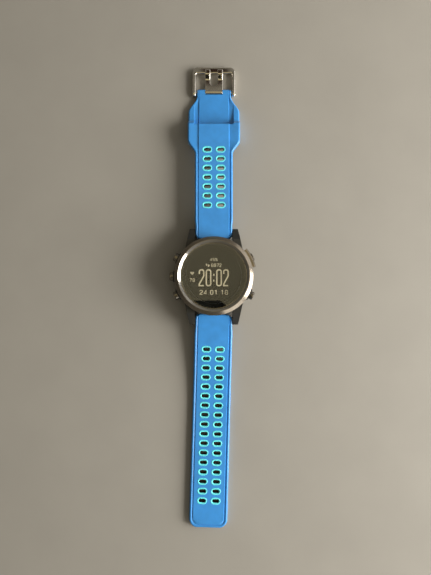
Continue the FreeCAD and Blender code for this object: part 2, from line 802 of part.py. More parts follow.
def charging_port():
    body = new_body("charging_block")
    plan = new_sketch(body, "XY_Plane")
    rectangle(plan, "-charger_width / 2", "charger_width / 2", "charger_y - charger_length / 2",
              "charger_y + charger_length / 2")
    pad(body, plan, "charger_top")
    bottom = new_sketch(body, "XY_Plane")
    rectangle(bottom, "-charger_width", "charger_width", "charger_y - charger_length",
              "charger_y + charger_length")
    pocket(body, bottom, "2 * charger_bottom")
    places = ["%g * contact_pitch" % step for step in (-1.5, -0.5, 0.5, 1.5)]
    holes = new_sketch(body, "XY_Plane")
    for across in places:
        circle(holes, across, "charger_y", "contact_radius")
    pocket(body, holes, "3 * charger_top")
    contacts = [disc("charging_contact", "contact_radius", "contact_bottom", "contact_top",
                     across, "charger_y") for across in places]
    grouped("charging_contacts", contacts)


def lug_pins():
    pins = []
    screws = []
    outer = "pin_half_length + lug_screw_length"
    for up in ("pin_y", "-pin_y"):
        pins.append(cross_bar("lug_pin", "pin_radius", "-pin_half_length", "pin_half_length", up,
                              "pin_z"))
        for left, right in (("-(%s)" % outer, "-pin_half_length"), ("pin_half_length", outer)):
            screws.append(cross_bar("lug_screw", "lug_screw_radius", left, right, up, "pin_z"))
    grouped("lug_pins", pins)
    grouped("lug_screws", screws)


# ------------------------------------------------------------------------------ straps

def strap_frames():
    """Where each strap half's own frame stands: below its pin, with +Y along the strap."""
    up = FreeCAD.Vector(0, size("pin_y"), 0)
    lean = FreeCAD.Rotation(AXIS_Z, 180 - size("lean_angle"))
    return {"upper": FreeCAD.Placement(up, FreeCAD.Rotation()), "lower": FreeCAD.Placement(-up, lean)}


def strap_end(top):
    """The side of a strap end, from below the pin round its knuckle to the start of the top."""
    return [("0", "pin_z - knuckle_radius", "knuckle_radius", -1),
            ("-knuckle_radius", "pin_z"), ("knuckle_neck_y", "%s - knuckle_neck_drop" % top)]


def lower_side(sketch, step):
    """The lower half from the side: one long arc down to the table, then flat to its tail."""
    drop = "(lower_top - strap_thickness)"
    arc = "(((lower_flat_y - strap_shoulder_y) ^ 2 + %s ^ 2) / (2 * %s))" % (drop, drop)
    under = "(%s + strap_thickness)" % arc
    blend = "%s - sqrt(%s ^ 2 - (lower_flat_y - knuckle_blend_y) ^ 2)" % (under, under)
    nose = "strap_thickness * 0.35"
    outline(sketch, strap_end("lower_top - %s" % step) + [
        ("strap_shoulder_y", "lower_top - %s" % step, arc, 1),
        ("lower_flat_y", "strap_thickness - %s" % step),
        ("lower_end_y - %s" % nose, "strap_thickness - %s" % step),
        ("lower_end_y", "strap_thickness - %s - %s" % (step, nose)), ("lower_end_y", nose),
        ("lower_end_y - %s" % nose, "0"), ("lower_flat_y", "0", under, -1),
        ("knuckle_blend_y", blend), ("knuckle_radius", "pin_z", "knuckle_radius", -1)])


def upper_side(sketch, step):
    """The upper half from the side: level from the pin to the edge of its band."""
    under = "upper_top - strap_thickness"
    outline(sketch, strap_end("upper_top - %s" % step) + [
        ("strap_shoulder_y", "upper_top - %s" % step), ("band_edge_y", "upper_top - %s" % step),
        ("band_edge_y", under),
        ("sqrt(knuckle_radius ^ 2 - (%s - pin_z) ^ 2)" % under, under, "knuckle_radius", -1)])


def strap_sheets(name, side, width):
    """The strap at its edges' height, and the raised panel along its middle."""
    sheets = []
    for part, step, across in (("edges", "strap_panel_step", width),
                               ("panel", "0", "strap_panel_width")):
        body = new_body("%s_%s" % (name, part))
        sketch = new_sketch(body, "YZ_Plane")
        side(sketch, step)
        pad(body, sketch, across, both_ways=True)
        sheets.append(body)
    return sheets


def outside_of(label, corners):
    """A tall frame that trims a strap to the outline of its plan."""
    body = new_body(label)
    plan = new_sketch(body, "XY_Plane")
    rectangle(plan, "-loop_width", "loop_width", "-loop_width", "lower_end_y + loop_width")
    outline(plan, corners)
    pad(body, plan, "4 * upper_top", both_ways=True)
    return body


def lower_plan():
    half, end = "strap_full_width / 2", "strap_end_width / 2"
    return outside_of("lower_outside", [
        ("-" + end, "-knuckle_radius - 1"), (end, "-knuckle_radius - 1"), (end, "strap_waist_y"),
        (half, "strap_wide_y"), (half, "lower_end_y - lower_corner", "lower_corner", 1),
        (half + " - lower_corner", "lower_end_y"),
        ("-%s + lower_corner" % half, "lower_end_y", "lower_corner", 1),
        ("-" + half, "lower_end_y - lower_corner"), ("-" + half, "strap_wide_y"),
        ("-" + end, "strap_waist_y")])


def upper_plan():
    """The upper half widens into its loop, narrows again and is notched for the tongue."""
    half, end = "strap_full_width / 2", "strap_end_width / 2"
    loop, tip, notch = "loop_width / 2", "strap_tip_width / 2", "notch_width / 2"
    right = [(end, "-knuckle_radius - 1"), (end, "strap_waist_y"), (half, "strap_wide_y"),
             (half, "flare_start_y"), (loop, "flare_full_y"), (loop, "flare_back_y"),
             (tip, "flare_end_y"), (tip, "strap_tip_y"), (notch, "strap_tip_y"), (notch, "notch_y")]
    left = [("-(%s)" % across, up) for across, up in reversed(right)]
    return outside_of("upper_outside", right + left)


def slot_posts(name, label, length, width):
    """Upright posts in two columns, as cutters for the slots or as blanks for their liners."""
    body = new_body(name + label)
    plan = new_sketch(body, "XY_Plane")
    for across in ("-slot_column_x", "slot_column_x"):
        stadium(plan, across, name + "_slot_first_y", length, width)
    posts = pad(body, plan, "4 * upper_top", both_ways=True)
    repeat_along(body, posts, "slot_pitch", name + "_rows")
    return body


def latch_block(name):
    return block(name + "_latch_block", "-latch_block_width / 2", "latch_block_width / 2",
                 "knuckle_radius / 2", "latch_block_y", "latch_block_bottom", "latch_recess_top + 0.4")


def strap_cutters(name):
    """The pin's bore and the recess that the latch sits in."""
    bore = cross_bar(name + "_bore", "strap_bore_radius", "-loop_width", "loop_width", "0", "pin_z")
    recess = block(name + "_recess", "-latch_recess_width / 2", "latch_recess_width / 2",
                   "latch_recess_start", "latch_recess_end", "0", "latch_recess_top")
    return [bore, recess]


def slot_rims(name, blank, frame):
    """The coloured liners of the slots, trimmed to the strap's own thickness."""
    blanks = slot_posts(name, "_rim_posts", "liner_length", "liner_width")
    holes = slot_posts(name, "_slot_posts", "slot_length", "slot_width")
    rims = doc.addObject("Part::Common", name + "_slot_rims")
    rims.Base = cut(name + "_rim_tubes", blanks, [holes])
    rims.Tool = blank
    rims.Placement = frame
    return blanks


def lower_strap(frame):
    blank = joined("lower_blank", strap_sheets("lower", lower_side, "strap_full_width"))
    openings = slot_rims("lower", blank, frame)
    solids = joined("lower_solids", [blank, latch_block("lower")])
    strap = cut("lower_strap", solids, strap_cutters("lower") + [lower_plan(), openings])
    strap.Placement = frame


def loop_rails():
    """The two sides of the loop: posts down from the band, then rails that ramp to the floor."""
    body = new_body("loop_rails")
    side = new_sketch(body, "YZ_Plane")
    outline(side, [
        ("post_top_start_y", "upper_top - strap_thickness"), ("post_foot_y", "0"),
        ("flare_end_y", "0"), ("flare_end_y", "floor_thickness"),
        ("rail_end_y", "floor_thickness"), ("rail_low_y", "rail_low_z"),
        ("band_edge_y + 1", "upper_top - strap_panel_step"),
        ("post_top_start_y", "upper_top - strap_panel_step")])
    pad(body, side, "loop_width", both_ways=True)
    middle = new_sketch(body, "XY_Plane")
    rectangle(middle, "-loop_inner_width / 2", "loop_inner_width / 2", "flare_start_y", "strap_tip_y")
    pocket(body, middle, "4 * upper_top")
    return body


def upper_strap(frame):
    blank = joined("upper_blank", strap_sheets("upper", upper_side, "loop_width"))
    openings = slot_rims("upper", blank, frame)
    floor = block("loop_floor", "-loop_width / 2", "loop_width / 2", "floor_start_y", "strap_tip_y",
                  "0", "floor_thickness")
    solids = joined("upper_solids", [blank, loop_rails(), floor, latch_block("upper")])
    bore = cross_bar("upper_buckle_bore", "buckle_strap_bore", "-loop_width", "loop_width",
                     "buckle_pin_y", "buckle_pin_z")
    strap = cut("upper_strap", solids, strap_cutters("upper") + [upper_plan(), openings, bore])
    strap.Placement = frame


def latch(name, frame):
    """The quick-release latch: a channel plate, a slider with a grip, and its spring."""
    half = "(latch_recess_width / 2 - latch_gap / 2)"
    channel = "(latch_slider_width / 2 + latch_gap)"
    plate = block(name + "_plate_blank", "-" + half, half, "latch_recess_start + latch_gap / 2",
                  "latch_recess_end - latch_gap / 2", "latch_slider_bottom", "latch_recess_top")
    slot = block(name + "_channel", "-" + channel, channel, "0", "latch_block_y", "0",
                 "latch_plate_bottom")
    cut(name + "_latch_plate", plate, [slot]).Placement = frame
    start = "latch_recess_start + latch_gap"
    width = "latch_slider_width / 2"
    bar = block(name + "_slider_bar", "-" + width, width, start, "latch_slider_end",
                "latch_slider_bottom", "latch_plate_bottom - latch_gap")
    grip = block(name + "_slider_grip", "-" + width, width, start + " + latch_grip_length",
                 start + " + 2 * latch_grip_length", "latch_grip_bottom", "latch_slider_bottom + 0.1")
    joined(name + "_latch_slider", [bar, grip]).Placement = frame
    seat = FreeCAD.Vector(0, size("latch_slider_end"), size("(latch_slider_bottom + latch_plate_bottom) / 2"))
    coil(name + "_latch_spring", "latch_spring_radius", "latch_spring_wire", "latch_spring_turns",
         "latch_recess_end - latch_slider_end",
         frame.multiply(FreeCAD.Placement(seat, FreeCAD.Rotation(AXIS_X, -90))))


# ------------------------------------------------------------------------------ buckle

def buckle_frame(frame):
    """A U of steel: two ears on the pin and a front bar, with every edge rounded."""
    body = new_body("frame_bar")
    side = new_sketch(body, "YZ_Plane")
    nose = "(buckle_top - buckle_bottom) / 2"
    outline(side, [
        ("-buckle_ear_back + %s" % nose, "buckle_bottom"),
        ("buckle_bar_outer - %s" % nose, "buckle_bottom", nose, 1),
        ("buckle_bar_outer - %s" % nose, "buckle_top"),
        ("-buckle_ear_back + %s" % nose, "buckle_top", nose, 1)])
    pad(body, side, "buckle_width", both_ways=True)
    inside = new_sketch(body, "XY_Plane")
    rectangle(inside, "-buckle_inner_width / 2", "buckle_inner_width / 2", "-buckle_bar_outer",
              "buckle_bar_inner")
    pocket(body, inside, "4 * buckle_top")
    corners = new_sketch(body, "XY_Plane")
    for sign, turn in (("", 1), ("-", -1)):
        edge = "%s(buckle_width / 2)" % sign
        start = "%s(buckle_width / 2 - buckle_corner)" % sign
        far = "%s(buckle_width / 2 + 1)" % sign
        outline(corners, [(edge, "buckle_bar_outer - buckle_corner", "buckle_corner", turn),
                          (start, "buckle_bar_outer"), (start, "buckle_bar_outer + 1"),
                          (far, "buckle_bar_outer + 1"), (far, "buckle_bar_outer - buckle_corner")])
    pocket(body, corners, "4 * buckle_top")
    bore = cross_bar("frame_bore", "buckle_frame_bore", "-buckle_width", "buckle_width", "0",
                     "buckle_pin_z")
    cut("buckle_frame", body, [bore]).Placement = frame


def buckle_tongue(frame):
    """Two prongs on one barrel: they lie in the frame and rest on its front bar."""
    body = new_body("tongue_prongs")
    side = new_sketch(body, "YZ_Plane")
    rest = "buckle_top + tongue_lift"
    outline(side, [
        ("0", "buckle_pin_z - tongue_barrel_radius / 2"),
        ("tongue_rise_y - 1.2", "buckle_pin_z - tongue_thickness / 2"),
        ("buckle_bar_inner - 0.3", rest), ("tongue_tip_y", rest),
        ("tongue_tip_y", rest + " + tongue_thickness * 0.6"),
        ("tongue_tip_y - tongue_thickness * 0.5", rest + " + tongue_thickness"),
        ("tongue_rise_y", rest + " + tongue_thickness"),
        ("tongue_rise_y - 2.2", "buckle_pin_z + tongue_thickness"),
        ("0", "buckle_pin_z + tongue_barrel_radius")])
    pad(body, side, "tongue_prong_spacing + tongue_prong_width", both_ways=True)
    gap = "(tongue_prong_spacing - tongue_prong_width) / 2"
    plan = new_sketch(body, "XY_Plane")
    outline(plan, [("-" + gap, "tongue_tip_y + 1"),
                   ("-" + gap, "tongue_cross_y + %s" % gap, gap, 1),
                   (gap, "tongue_cross_y + %s" % gap), (gap, "tongue_tip_y + 1")])
    for sign in ("", "-"):
        near = "%s(tongue_barrel_width / 2)" % sign
        outline(plan, [(near, "-2 * tongue_barrel_radius"), (sign + "(tongue_barrel_width)",
                       "-2 * tongue_barrel_radius"), (sign + "(tongue_barrel_width)",
                       "2 * tongue_barrel_radius"), (near, "1.7 * tongue_barrel_radius")])
    pocket(body, plan, "4 * buckle_top")
    barrel = cross_bar("tongue_barrel", "tongue_barrel_radius", "-tongue_barrel_width / 2",
                       "tongue_barrel_width / 2", "0", "buckle_pin_z")
    bore = cross_bar("tongue_bore", "tongue_bore", "-buckle_width", "buckle_width", "0",
                     "buckle_pin_z")
    cut("buckle_tongue", joined("tongue_solid", [body, barrel]), [bore]).Placement = frame


def buckle(strap_frame):
    pin = FreeCAD.Placement(FreeCAD.Vector(0, size("buckle_pin_y"), 0), FreeCAD.Rotation())
    frame = strap_frame.multiply(pin)
    cross_bar("buckle_pin", "buckle_pin_radius", "-buckle_pin_half_length", "buckle_pin_half_length",
              "0", "buckle_pin_z", frame)
    buckle_frame(frame)
    buckle_tongue(frame)


# ------------------------------------------------------------------------------- build

def build_watch():
    mid_case()
    bezel()
    lens_and_seals()
    display_stack()
    main_board()
    battery()
    for name, angle in BUTTONS.items():
        button(name, angle)
    button_seals()
    button_switches()
    button_flex()
    start_button_guard()
    back_cover()
    back_screws()
    sensor()
    charging_port()
    lug_pins()
    frames = strap_frames()
    upper_strap(frames["upper"])
    lower_strap(frames["lower"])
    for name, frame in frames.items():
        latch(name, frame)
    buckle(frames["upper"])


NODES = [
    "mid_case", "bezel", "bezel_gasket", "lens", "lens_gasket", "display_panel", "display_surround",
    "backlight_plate", "chassis_frame", "gps_antenna", "main_board", "board_chips", "battery",
    "vibration_motor", "buzzer", "pressure_sensor", "button_switches", "button_seals", "button_flex",
    "start_button_guard", "back_cover", "back_gasket", "back_screws", "sensor_window",
    "sensor_board", "sensor_leds", "charging_block", "charging_contacts", "lug_pins", "lug_screws",
    "upper_strap", "upper_slot_rims", "upper_latch_plate", "upper_latch_slider",
    "upper_latch_spring", "buckle_pin", "buckle_frame", "buckle_tongue",
    "lower_strap", "lower_slot_rims", "lower_latch_plate", "lower_latch_slider",
    "lower_latch_spring",
] + [name + part for name in BUTTONS for part in ("", "_clip", "_spring")]


def check_and_export():
    """Stop on any failed object or bad shape, then write one file per node."""
    doc.recompute()
    for thing in doc.Objects:
        if "Invalid" in thing.State or "Error" in thing.State:
            raise RuntimeError("%s failed to build: %s" % (thing.Label, thing.State))
    os.makedirs("parts", exist_ok=True)
    for label in NODES:
        shape = doc.getObjectsByLabel(label)[0].Shape
        if shape.isNull() or not shape.isValid():
            raise RuntimeError("%s has a bad shape" % label)
    for label in NODES:
        doc.getObjectsByLabel(label)[0].Shape.exportStep("parts/%s.step" % label)
    print("%d nodes written" % len(NODES))


build_watch()
check_and_export()
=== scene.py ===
import json
import math

import bmesh
import bpy
from mathutils import Matrix, Vector


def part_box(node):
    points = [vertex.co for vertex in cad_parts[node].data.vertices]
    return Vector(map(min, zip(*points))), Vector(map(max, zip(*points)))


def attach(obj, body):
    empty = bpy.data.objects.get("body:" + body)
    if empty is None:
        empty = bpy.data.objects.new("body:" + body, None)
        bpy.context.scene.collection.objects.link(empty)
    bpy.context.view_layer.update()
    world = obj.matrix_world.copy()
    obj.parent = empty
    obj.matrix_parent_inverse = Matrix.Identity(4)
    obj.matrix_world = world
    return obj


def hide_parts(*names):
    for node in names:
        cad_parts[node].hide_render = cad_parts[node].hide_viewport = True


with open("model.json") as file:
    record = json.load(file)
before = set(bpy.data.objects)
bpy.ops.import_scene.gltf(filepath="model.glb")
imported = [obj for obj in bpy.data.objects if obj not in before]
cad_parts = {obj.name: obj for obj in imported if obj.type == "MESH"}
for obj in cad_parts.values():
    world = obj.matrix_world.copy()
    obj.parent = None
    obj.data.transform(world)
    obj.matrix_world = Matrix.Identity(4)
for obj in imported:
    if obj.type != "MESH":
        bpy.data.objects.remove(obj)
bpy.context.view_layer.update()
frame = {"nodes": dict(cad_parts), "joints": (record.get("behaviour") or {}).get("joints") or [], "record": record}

# A round golf watch laid out on a table, dial up. Pieces are drawn in millimetres and scaled to
# metres when they are placed. Each strap half is drawn along +Y in a frame of its own, whose
# origin is on the table below its lug pin, and is then set in place.

MM = 0.001
NODES = frame["nodes"]
JOINTS = {joint["name"]: joint for joint in frame["joints"]}


def low_corner(node):
    return Vector(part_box(node)[0]) / MM


def high_corner(node):
    return Vector(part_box(node)[1]) / MM


def pivot(joint):
    return Vector(JOINTS[joint]["pos_m"]) / MM


# ------------------------------------------------------------------ sizes read from the frame

PIN_Y = pivot("upper_strap_hinge").y
PIN_Z = pivot("upper_strap_hinge").z
BUCKLE_PIN = pivot("buckle_hinge")
TAIL = Vector(JOINTS["lower_latch_slide"]["axis"])
BEZEL_RADIUS = high_corner("bezel").x
BEZEL_CREST = high_corner("bezel").z
BEZEL_FOOT = low_corner("bezel").z
LENS_RADIUS = high_corner("lens").x
LENS_TOP = high_corner("lens").z
LENS_BOTTOM = low_corner("lens").z
SEAT_RADIUS = high_corner("lens_gasket").x
PANEL_TOP = high_corner("display_panel").z
SURROUND_TOP = high_corner("display_surround").z
UPPER_TOP = high_corner("upper_slot_rims").z
UPPER_TIP = high_corner("upper_strap").y - PIN_Y
LOOP_HALF = high_corner("upper_strap").x
LOWER_TOP = high_corner("lower_strap").z

FRAMES = {
    "upper": Matrix.Translation((0, PIN_Y, 0)),
    "lower": Matrix.Translation((0, -PIN_Y, 0)) @ Matrix.Rotation(math.atan2(-TAIL.x, TAIL.y), 4, "Z"),
    "case": Matrix.Identity(4),
    "buckle": Matrix.Translation((0, BUCKLE_PIN.y, 0)),
}

# Strap sizes, in millimetres
THICK = 2.6
STRAP_HALF = 10.2
END_HALF = 9.9
WAIST_Y, WIDE_Y = 4.8, 7.2
INNER_END = -2.4
KNUCKLE = 2.5
PANEL_HALF = 8.15
GROOVE_WALL = 0.28
GROOVE_DEPTH = 0.42
PANEL_END, PANEL_CORNER = 1.9, 3.0
LIP_DROP = 0.02
EDGE_ROUND = 0.9
UNDER_ROUND = 0.4
CASE_CORNER = 2.8
TAIL_CORNER = 4.4
LOWER_END = 111.4
LOWER_FLAT = 49.4
ARC_START = -1.5
LOWER_DROP = LOWER_TOP - THICK
LOWER_RADIUS = ((LOWER_FLAT - ARC_START) ** 2 + LOWER_DROP ** 2) / (2 * LOWER_DROP)
SLOT_FIRST = {"upper": 15.8, "lower": 16.5}
SLOT_PITCH, SLOT_X = 5.045, 3.6
SLOT_SIZE = (3.7, 1.75)
LINER_SIZE = (5.4, 3.65)
ROWS = {"upper": 7, "lower": 17}
BAND_EDGE = 60.3
LOOP_INNER = 10.7
FLARE = (44.0, 51.6, 69.2, 78.0)
TIP_HALF = 9.55
POST_TOP, POST_FOOT = 47.4, 55.5
FLOOR_START = 57.0
RAIL_LOW = ((64.6, 3.3), (71.0, THICK))
NOTCH_HALF, NOTCH_Y = 4.9, 79.1


# ------------------------------------------------------------------------- mesh helpers

def blend_step(t):
    """A smooth step from 0 to 1."""
    t = min(max(t, 0.0), 1.0)
    return t * t * (3 - 2 * t)


def round_over(distance, radius):
    """How far a rounded edge lies below the flat, at a distance in from the edge."""
    if distance >= radius:
        return 0.0
    return radius - math.sqrt(max(radius ** 2 - (radius - max(distance, 0.0)) ** 2, 0.0))


def rounded(corners, closed=False, steps=6):
    """A path through (x, y, radius) corners, with each corner turned on an arc."""
    path = []
    count = len(corners)
    for i, (x, y, radius) in enumerate(corners):
        here = Vector((x, y))
        if radius == 0 or (not closed and i in (0, count - 1)):
            path.append(here)
            continue
        before = (Vector(corners[i - 1][:2]) - here).normalized()
        after = (Vector(corners[(i + 1) % count][:2]) - here).normalized()
        half = before.angle(after) / 2
        centre = here + (before + after).normalized() * (radius / math.sin(half))
        start = here + before * (radius / math.tan(half)) - centre
        sweep = (math.pi - 2 * half) * (1 if before.cross(after) < 0 else -1)
        for step in range(steps + 1):
            path.append(centre + Matrix.Rotation(sweep * step / steps, 2) @ start)
    return path


def lathe(profile, segments=192, closed=True):
    """A solid turned about Z from (radius, z) points, which run round or start and end on Z."""
    bm = bmesh.new()
    rings = []
    for i in range(segments):
        angle = 2 * math.pi * i / segments
        rings.append([bm.verts.new((r * math.cos(angle), r * math.sin(angle), z)) for r, z in profile])
    count = len(profile)
    for i, ring in enumerate(rings):
        after = rings[(i + 1) % segments]
        for k in range(count if closed else count - 1):
            up = (k + 1) % count
            bm.faces.new((ring[k], after[k], after[up], ring[up]))
    return tidy(bm)


def tidy(bm, gap=0.0008):
    """Join points that meet and turn every face outwards."""
    bmesh.ops.remove_doubles(bm, verts=bm.verts, dist=gap)
    bmesh.ops.dissolve_degenerate(bm, edges=bm.edges, dist=gap / 4)
    bmesh.ops.recalc_face_normals(bm, faces=bm.faces)
    return bm


def prism(outline, bottom, top):
    """A closed solid between two heights with an outline of (x, y) points."""
    bm = bmesh.new()
    low = [bm.verts.new((x, y, bottom)) for x, y in outline]
    high = [bm.verts.new((x, y, top)) for x, y in outline]
    bm.faces.new(list(reversed(low)))
    bm.faces.new(high)
    for i in range(len(outline)):
        j = (i + 1) % len(outline)
        bm.faces.new((low[i], low[j], high[j], high[i]))
    return bm


def rod(radius, left, right, up, height, segments=48):
    """A round bar along X."""
    circle = [(radius * math.cos(2 * math.pi * i / segments), radius * math.sin(2 * math.pi * i / segments))
              for i in range(segments)]
    bm = prism(circle, left, right)
    bm.transform(Matrix.Translation((0, up, height)) @ Matrix.Rotation(math.pi / 2, 4, "Y"))
    return bm


def merged(solids):
    """Several separate solids in one mesh."""
    whole = bmesh.new()
    for solid in solids:
        part = bpy.data.meshes.new("part")
        solid.to_mesh(part)
        solid.free()
        whole.from_mesh(part)
        bpy.data.meshes.remove(part)
    return whole


def as_object(bm, name):
    mesh = bpy.data.meshes.new(name)
    bm.to_mesh(mesh)
    bm.free()
    thing = bpy.data.objects.new(name, mesh)
    bpy.context.scene.collection.objects.link(thing)
    return thing


def combine(bm, tool, how="DIFFERENCE"):
    """bm with a closed tool taken away or added."""
    base, other = as_object(bm, "base"), as_object(tool, "tool")
    carve = base.modifiers.new("carve", "BOOLEAN")
    carve.operation = how
    carve.solver = "MANIFOLD"
    carve.object = other
    graph = bpy.context.evaluated_depsgraph_get()
    result = bmesh.new()
    result.from_mesh(bpy.data.meshes.new_from_object(base.evaluated_get(graph)))
    for thing in (base, other):
        bpy.data.objects.remove(thing)
    return result


def place(bm, name, body, look, replaced=(), where="case", sharp=30):
    """Put a piece in the scene in metres, on its body, in place of the CAD nodes it stands for."""
    bm.transform(Matrix.Scale(MM, 4) @ FRAMES[where])
    piece = as_object(bm, name)
    piece.data.polygons.foreach_set("use_smooth", [True] * len(piece.data.polygons))
    piece.data.set_sharp_from_angle(angle=math.radians(sharp))
    piece.modifiers.new("shading", "WEIGHTED_NORMAL").keep_sharp = True
    material, slot = look
    piece.data.materials.append(material)
    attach(piece, body)
    if replaced:
        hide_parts(*replaced)
    return piece


# ---------------------------------------------------------------------------- materials

class Look:
    """One node material: a Principled surface with procedural colour, roughness and bump."""

    def __init__(self, name, **settings):
        self.material = bpy.data.materials.new(name)
        self.material.use_nodes = True
        self.tree = self.material.node_tree
        self.surface = self.tree.nodes["Principled BSDF"]
        for key, value in settings.items():
            self.surface.inputs[key.replace("_", " ")].default_value = value
        self.coords = self.tree.nodes.new("ShaderNodeTexCoord").outputs["Object"]
        self.height = None

    def node(self, kind, **settings):
        made = self.tree.nodes.new(kind)
        for key, value in settings.items():
            if key in made.inputs:
                made.inputs[key].default_value = value
            else:
                setattr(made, key, value)
        return made

    def link(self, source, target):
        self.tree.links.new(source, target)

    def stretched(self, scale):
        """The object's coordinates, scaled unevenly."""
        mapping = self.node("ShaderNodeMapping")
        mapping.inputs["Scale"].default_value = scale
        self.link(self.coords, mapping.inputs["Vector"])
        return mapping.outputs["Vector"]

    def noise(self, size_mm, detail=3.0, vector=None):
        """Noise whose patches are about size_mm across."""
        made = self.node("ShaderNodeTexNoise", Scale=1 / (size_mm * MM), Detail=detail)
        self.link(vector or self.coords, made.inputs["Vector"])
        return made.outputs["Fac"]

    def ramp(self, source, stops):
        made = self.node("ShaderNodeValToRGB")
        bar = made.color_ramp
        while len(bar.elements) < len(stops):
            bar.elements.new(0.5)
        for element, (place_, colour) in zip(bar.elements, stops):
            element.position = place_
            element.color = (*colour, 1.0) if len(colour) == 3 else colour
        self.link(source, made.inputs["Fac"])
        return made.outputs["Color"]

    def span(self, source, low, high):
        """A 0 to 1 value mapped between two numbers."""
        made = self.node("ShaderNodeMapRange")
        made.inputs["To Min"].default_value = low
        made.inputs["To Max"].default_value = high
        self.link(source, made.inputs["Value"])
        return made.outputs["Result"]

    def colour(self, source, low, high, start=0.3, end=0.7):
        self.link(self.ramp(source, [(start, low), (end, high)]), self.surface.inputs["Base Color"])

    def roughness(self, source, low, high):
        self.link(self.span(source, low, high), self.surface.inputs["Roughness"])

    def bump(self, source, depth_mm, strength=1.0):
        made = self.node("ShaderNodeBump", Strength=strength, Distance=depth_mm * MM)
        self.link(source, made.inputs["Height"])
        if self.height is not None:
            self.link(self.height, made.inputs["Normal"])
        self.height = made.outputs["Normal"]
        self.link(self.height, self.surface.inputs["Normal"])


def shaded(colour, factor):
    return tuple(channel * factor for channel in colour)


def silicone(name, colour):
    """Matt moulded silicone: a fine bloom, faint dust and a soft grain."""
    look = Look(name, Specular_IOR_Level=0.55, Sheen_Weight=0.05, Sheen_Roughness=0.5)
    look.colour(look.noise(6.0, 4.0), shaded(colour, 0.90), shaded(colour, 1.07))
    look.roughness(look.noise(2.2, 5.0), 0.30, 0.44)
    look.bump(look.noise(0.12, 2.0), 0.004, 0.5)
    look.bump(look.noise(1.6, 2.0), 0.006, 0.5)
    return look.material


def turned_steel(name, colour, rough=(0.22, 0.34), line=0.05):
    """Steel finished on a lathe: fine rings about the dial's axis, and light wear."""
    look = Look(name, Metallic=1.0)
    flat = look.node("ShaderNodeVectorMath", operation="MULTIPLY")
    flat.inputs[1].default_value = (1, 1, 0)
    look.link(look.coords, flat.inputs[0])
    far = look.node("ShaderNodeVectorMath", operation="LENGTH")
    look.link(flat.outputs["Vector"], far.inputs[0])
    rings = look.node("ShaderNodeCombineXYZ")
    look.link(far.outputs["Value"], rings.inputs["X"])
    grain = look.noise(line, 2.0, rings.outputs["Vector"])
    look.colour(look.noise(5.0, 4.0), shaded(colour, 0.86), shaded(colour, 1.1))
    look.roughness(look.noise(1.2, 5.0), *rough)
    look.bump(grain, 0.0012, 0.4)
    return look.material


def plain_metal(name, colour, rough=(0.12, 0.24), grain_mm=0.25):
    """Polished or satin metal with hairlines and small marks."""
    look = Look(name, Metallic=1.0)
    lines = look.noise(grain_mm, 3.0, look.stretched((1.0, 0.12, 1.0)))
    look.colour(look.noise(4.0, 3.0), shaded(colour, 0.9), shaded(colour, 1.06))
    look.roughness(look.noise(0.9, 5.0), *rough)
    look.bump(lines, 0.0012, 0.35)
    return look.material


def moulded_plastic(name, colour, rough=(0.38, 0.55), grain_mm=0.16):
    """Glass-filled polymer with a spark-eroded texture."""
    look = Look(name, Specular_IOR_Level=0.45)
    look.colour(look.noise(3.0, 5.0), shaded(colour, 0.85), shaded(colour, 1.15))
    look.roughness(look.noise(1.0, 4.0), *rough)
    look.bump(look.noise(grain_mm, 2.0), 0.006, 0.45)
    return look.material


def glossy_plastic(name, colour, rough=(0.08, 0.16)):
    look = Look(name, Specular_IOR_Level=0.5)
    look.colour(look.noise(4.0, 3.0), shaded(colour, 0.92), shaded(colour, 1.08))
    look.roughness(look.noise(1.5, 4.0), *rough)
    return look.material


def board(name, colour):
    """Solder mask with faint tracks."""
    look = Look(name)
    tracks = look.node("ShaderNodeTexVoronoi", Scale=1 / (1.3 * MM))
    tracks.feature = "DISTANCE_TO_EDGE"
    look.link(look.coords, tracks.inputs["Vector"])
    look.colour(tracks.outputs["Distance"], shaded(colour, 1.7), colour, 0.03, 0.06)
    look.roughness(look.noise(1.0), 0.3, 0.45)
    return look.material


def lens_glass(name):
    """Clear lens: smears give the reflection a little life."""
    look = Look(name, Transmission_Weight=1.0, IOR=1.5, Base_Color=(0.96, 0.97, 0.955, 1.0))
    look.roughness(look.noise(7.0, 4.0), 0.0, 0.008)
    return look.material


def display_face(name, colour):
    """A reflective display: a fine grid of cells over a mirror-like backing."""
    look = Look(name, Specular_IOR_Level=0.35)
    cells = look.node("ShaderNodeTexBrick", Scale=1.0)
    cells.offset = 0.0
    for key, value in (("Brick Width", 0.125 * MM), ("Row Height", 0.125 * MM), ("Mortar Size", 0.012 * MM)):
        cells.inputs[key].default_value = value
    cells.inputs["Color1"].default_value = (*shaded(colour, 1.05), 1.0)
    cells.inputs["Color2"].default_value = (*shaded(colour, 0.95), 1.0)
    cells.inputs["Mortar"].default_value = (*shaded(colour, 0.75), 1.0)
    look.link(look.coords, cells.inputs["Vector"])
    look.link(cells.outputs["Color"], look.surface.inputs["Base Color"])
    look.roughness(look.noise(9.0, 3.0), 0.015, 0.035)
    return look.material


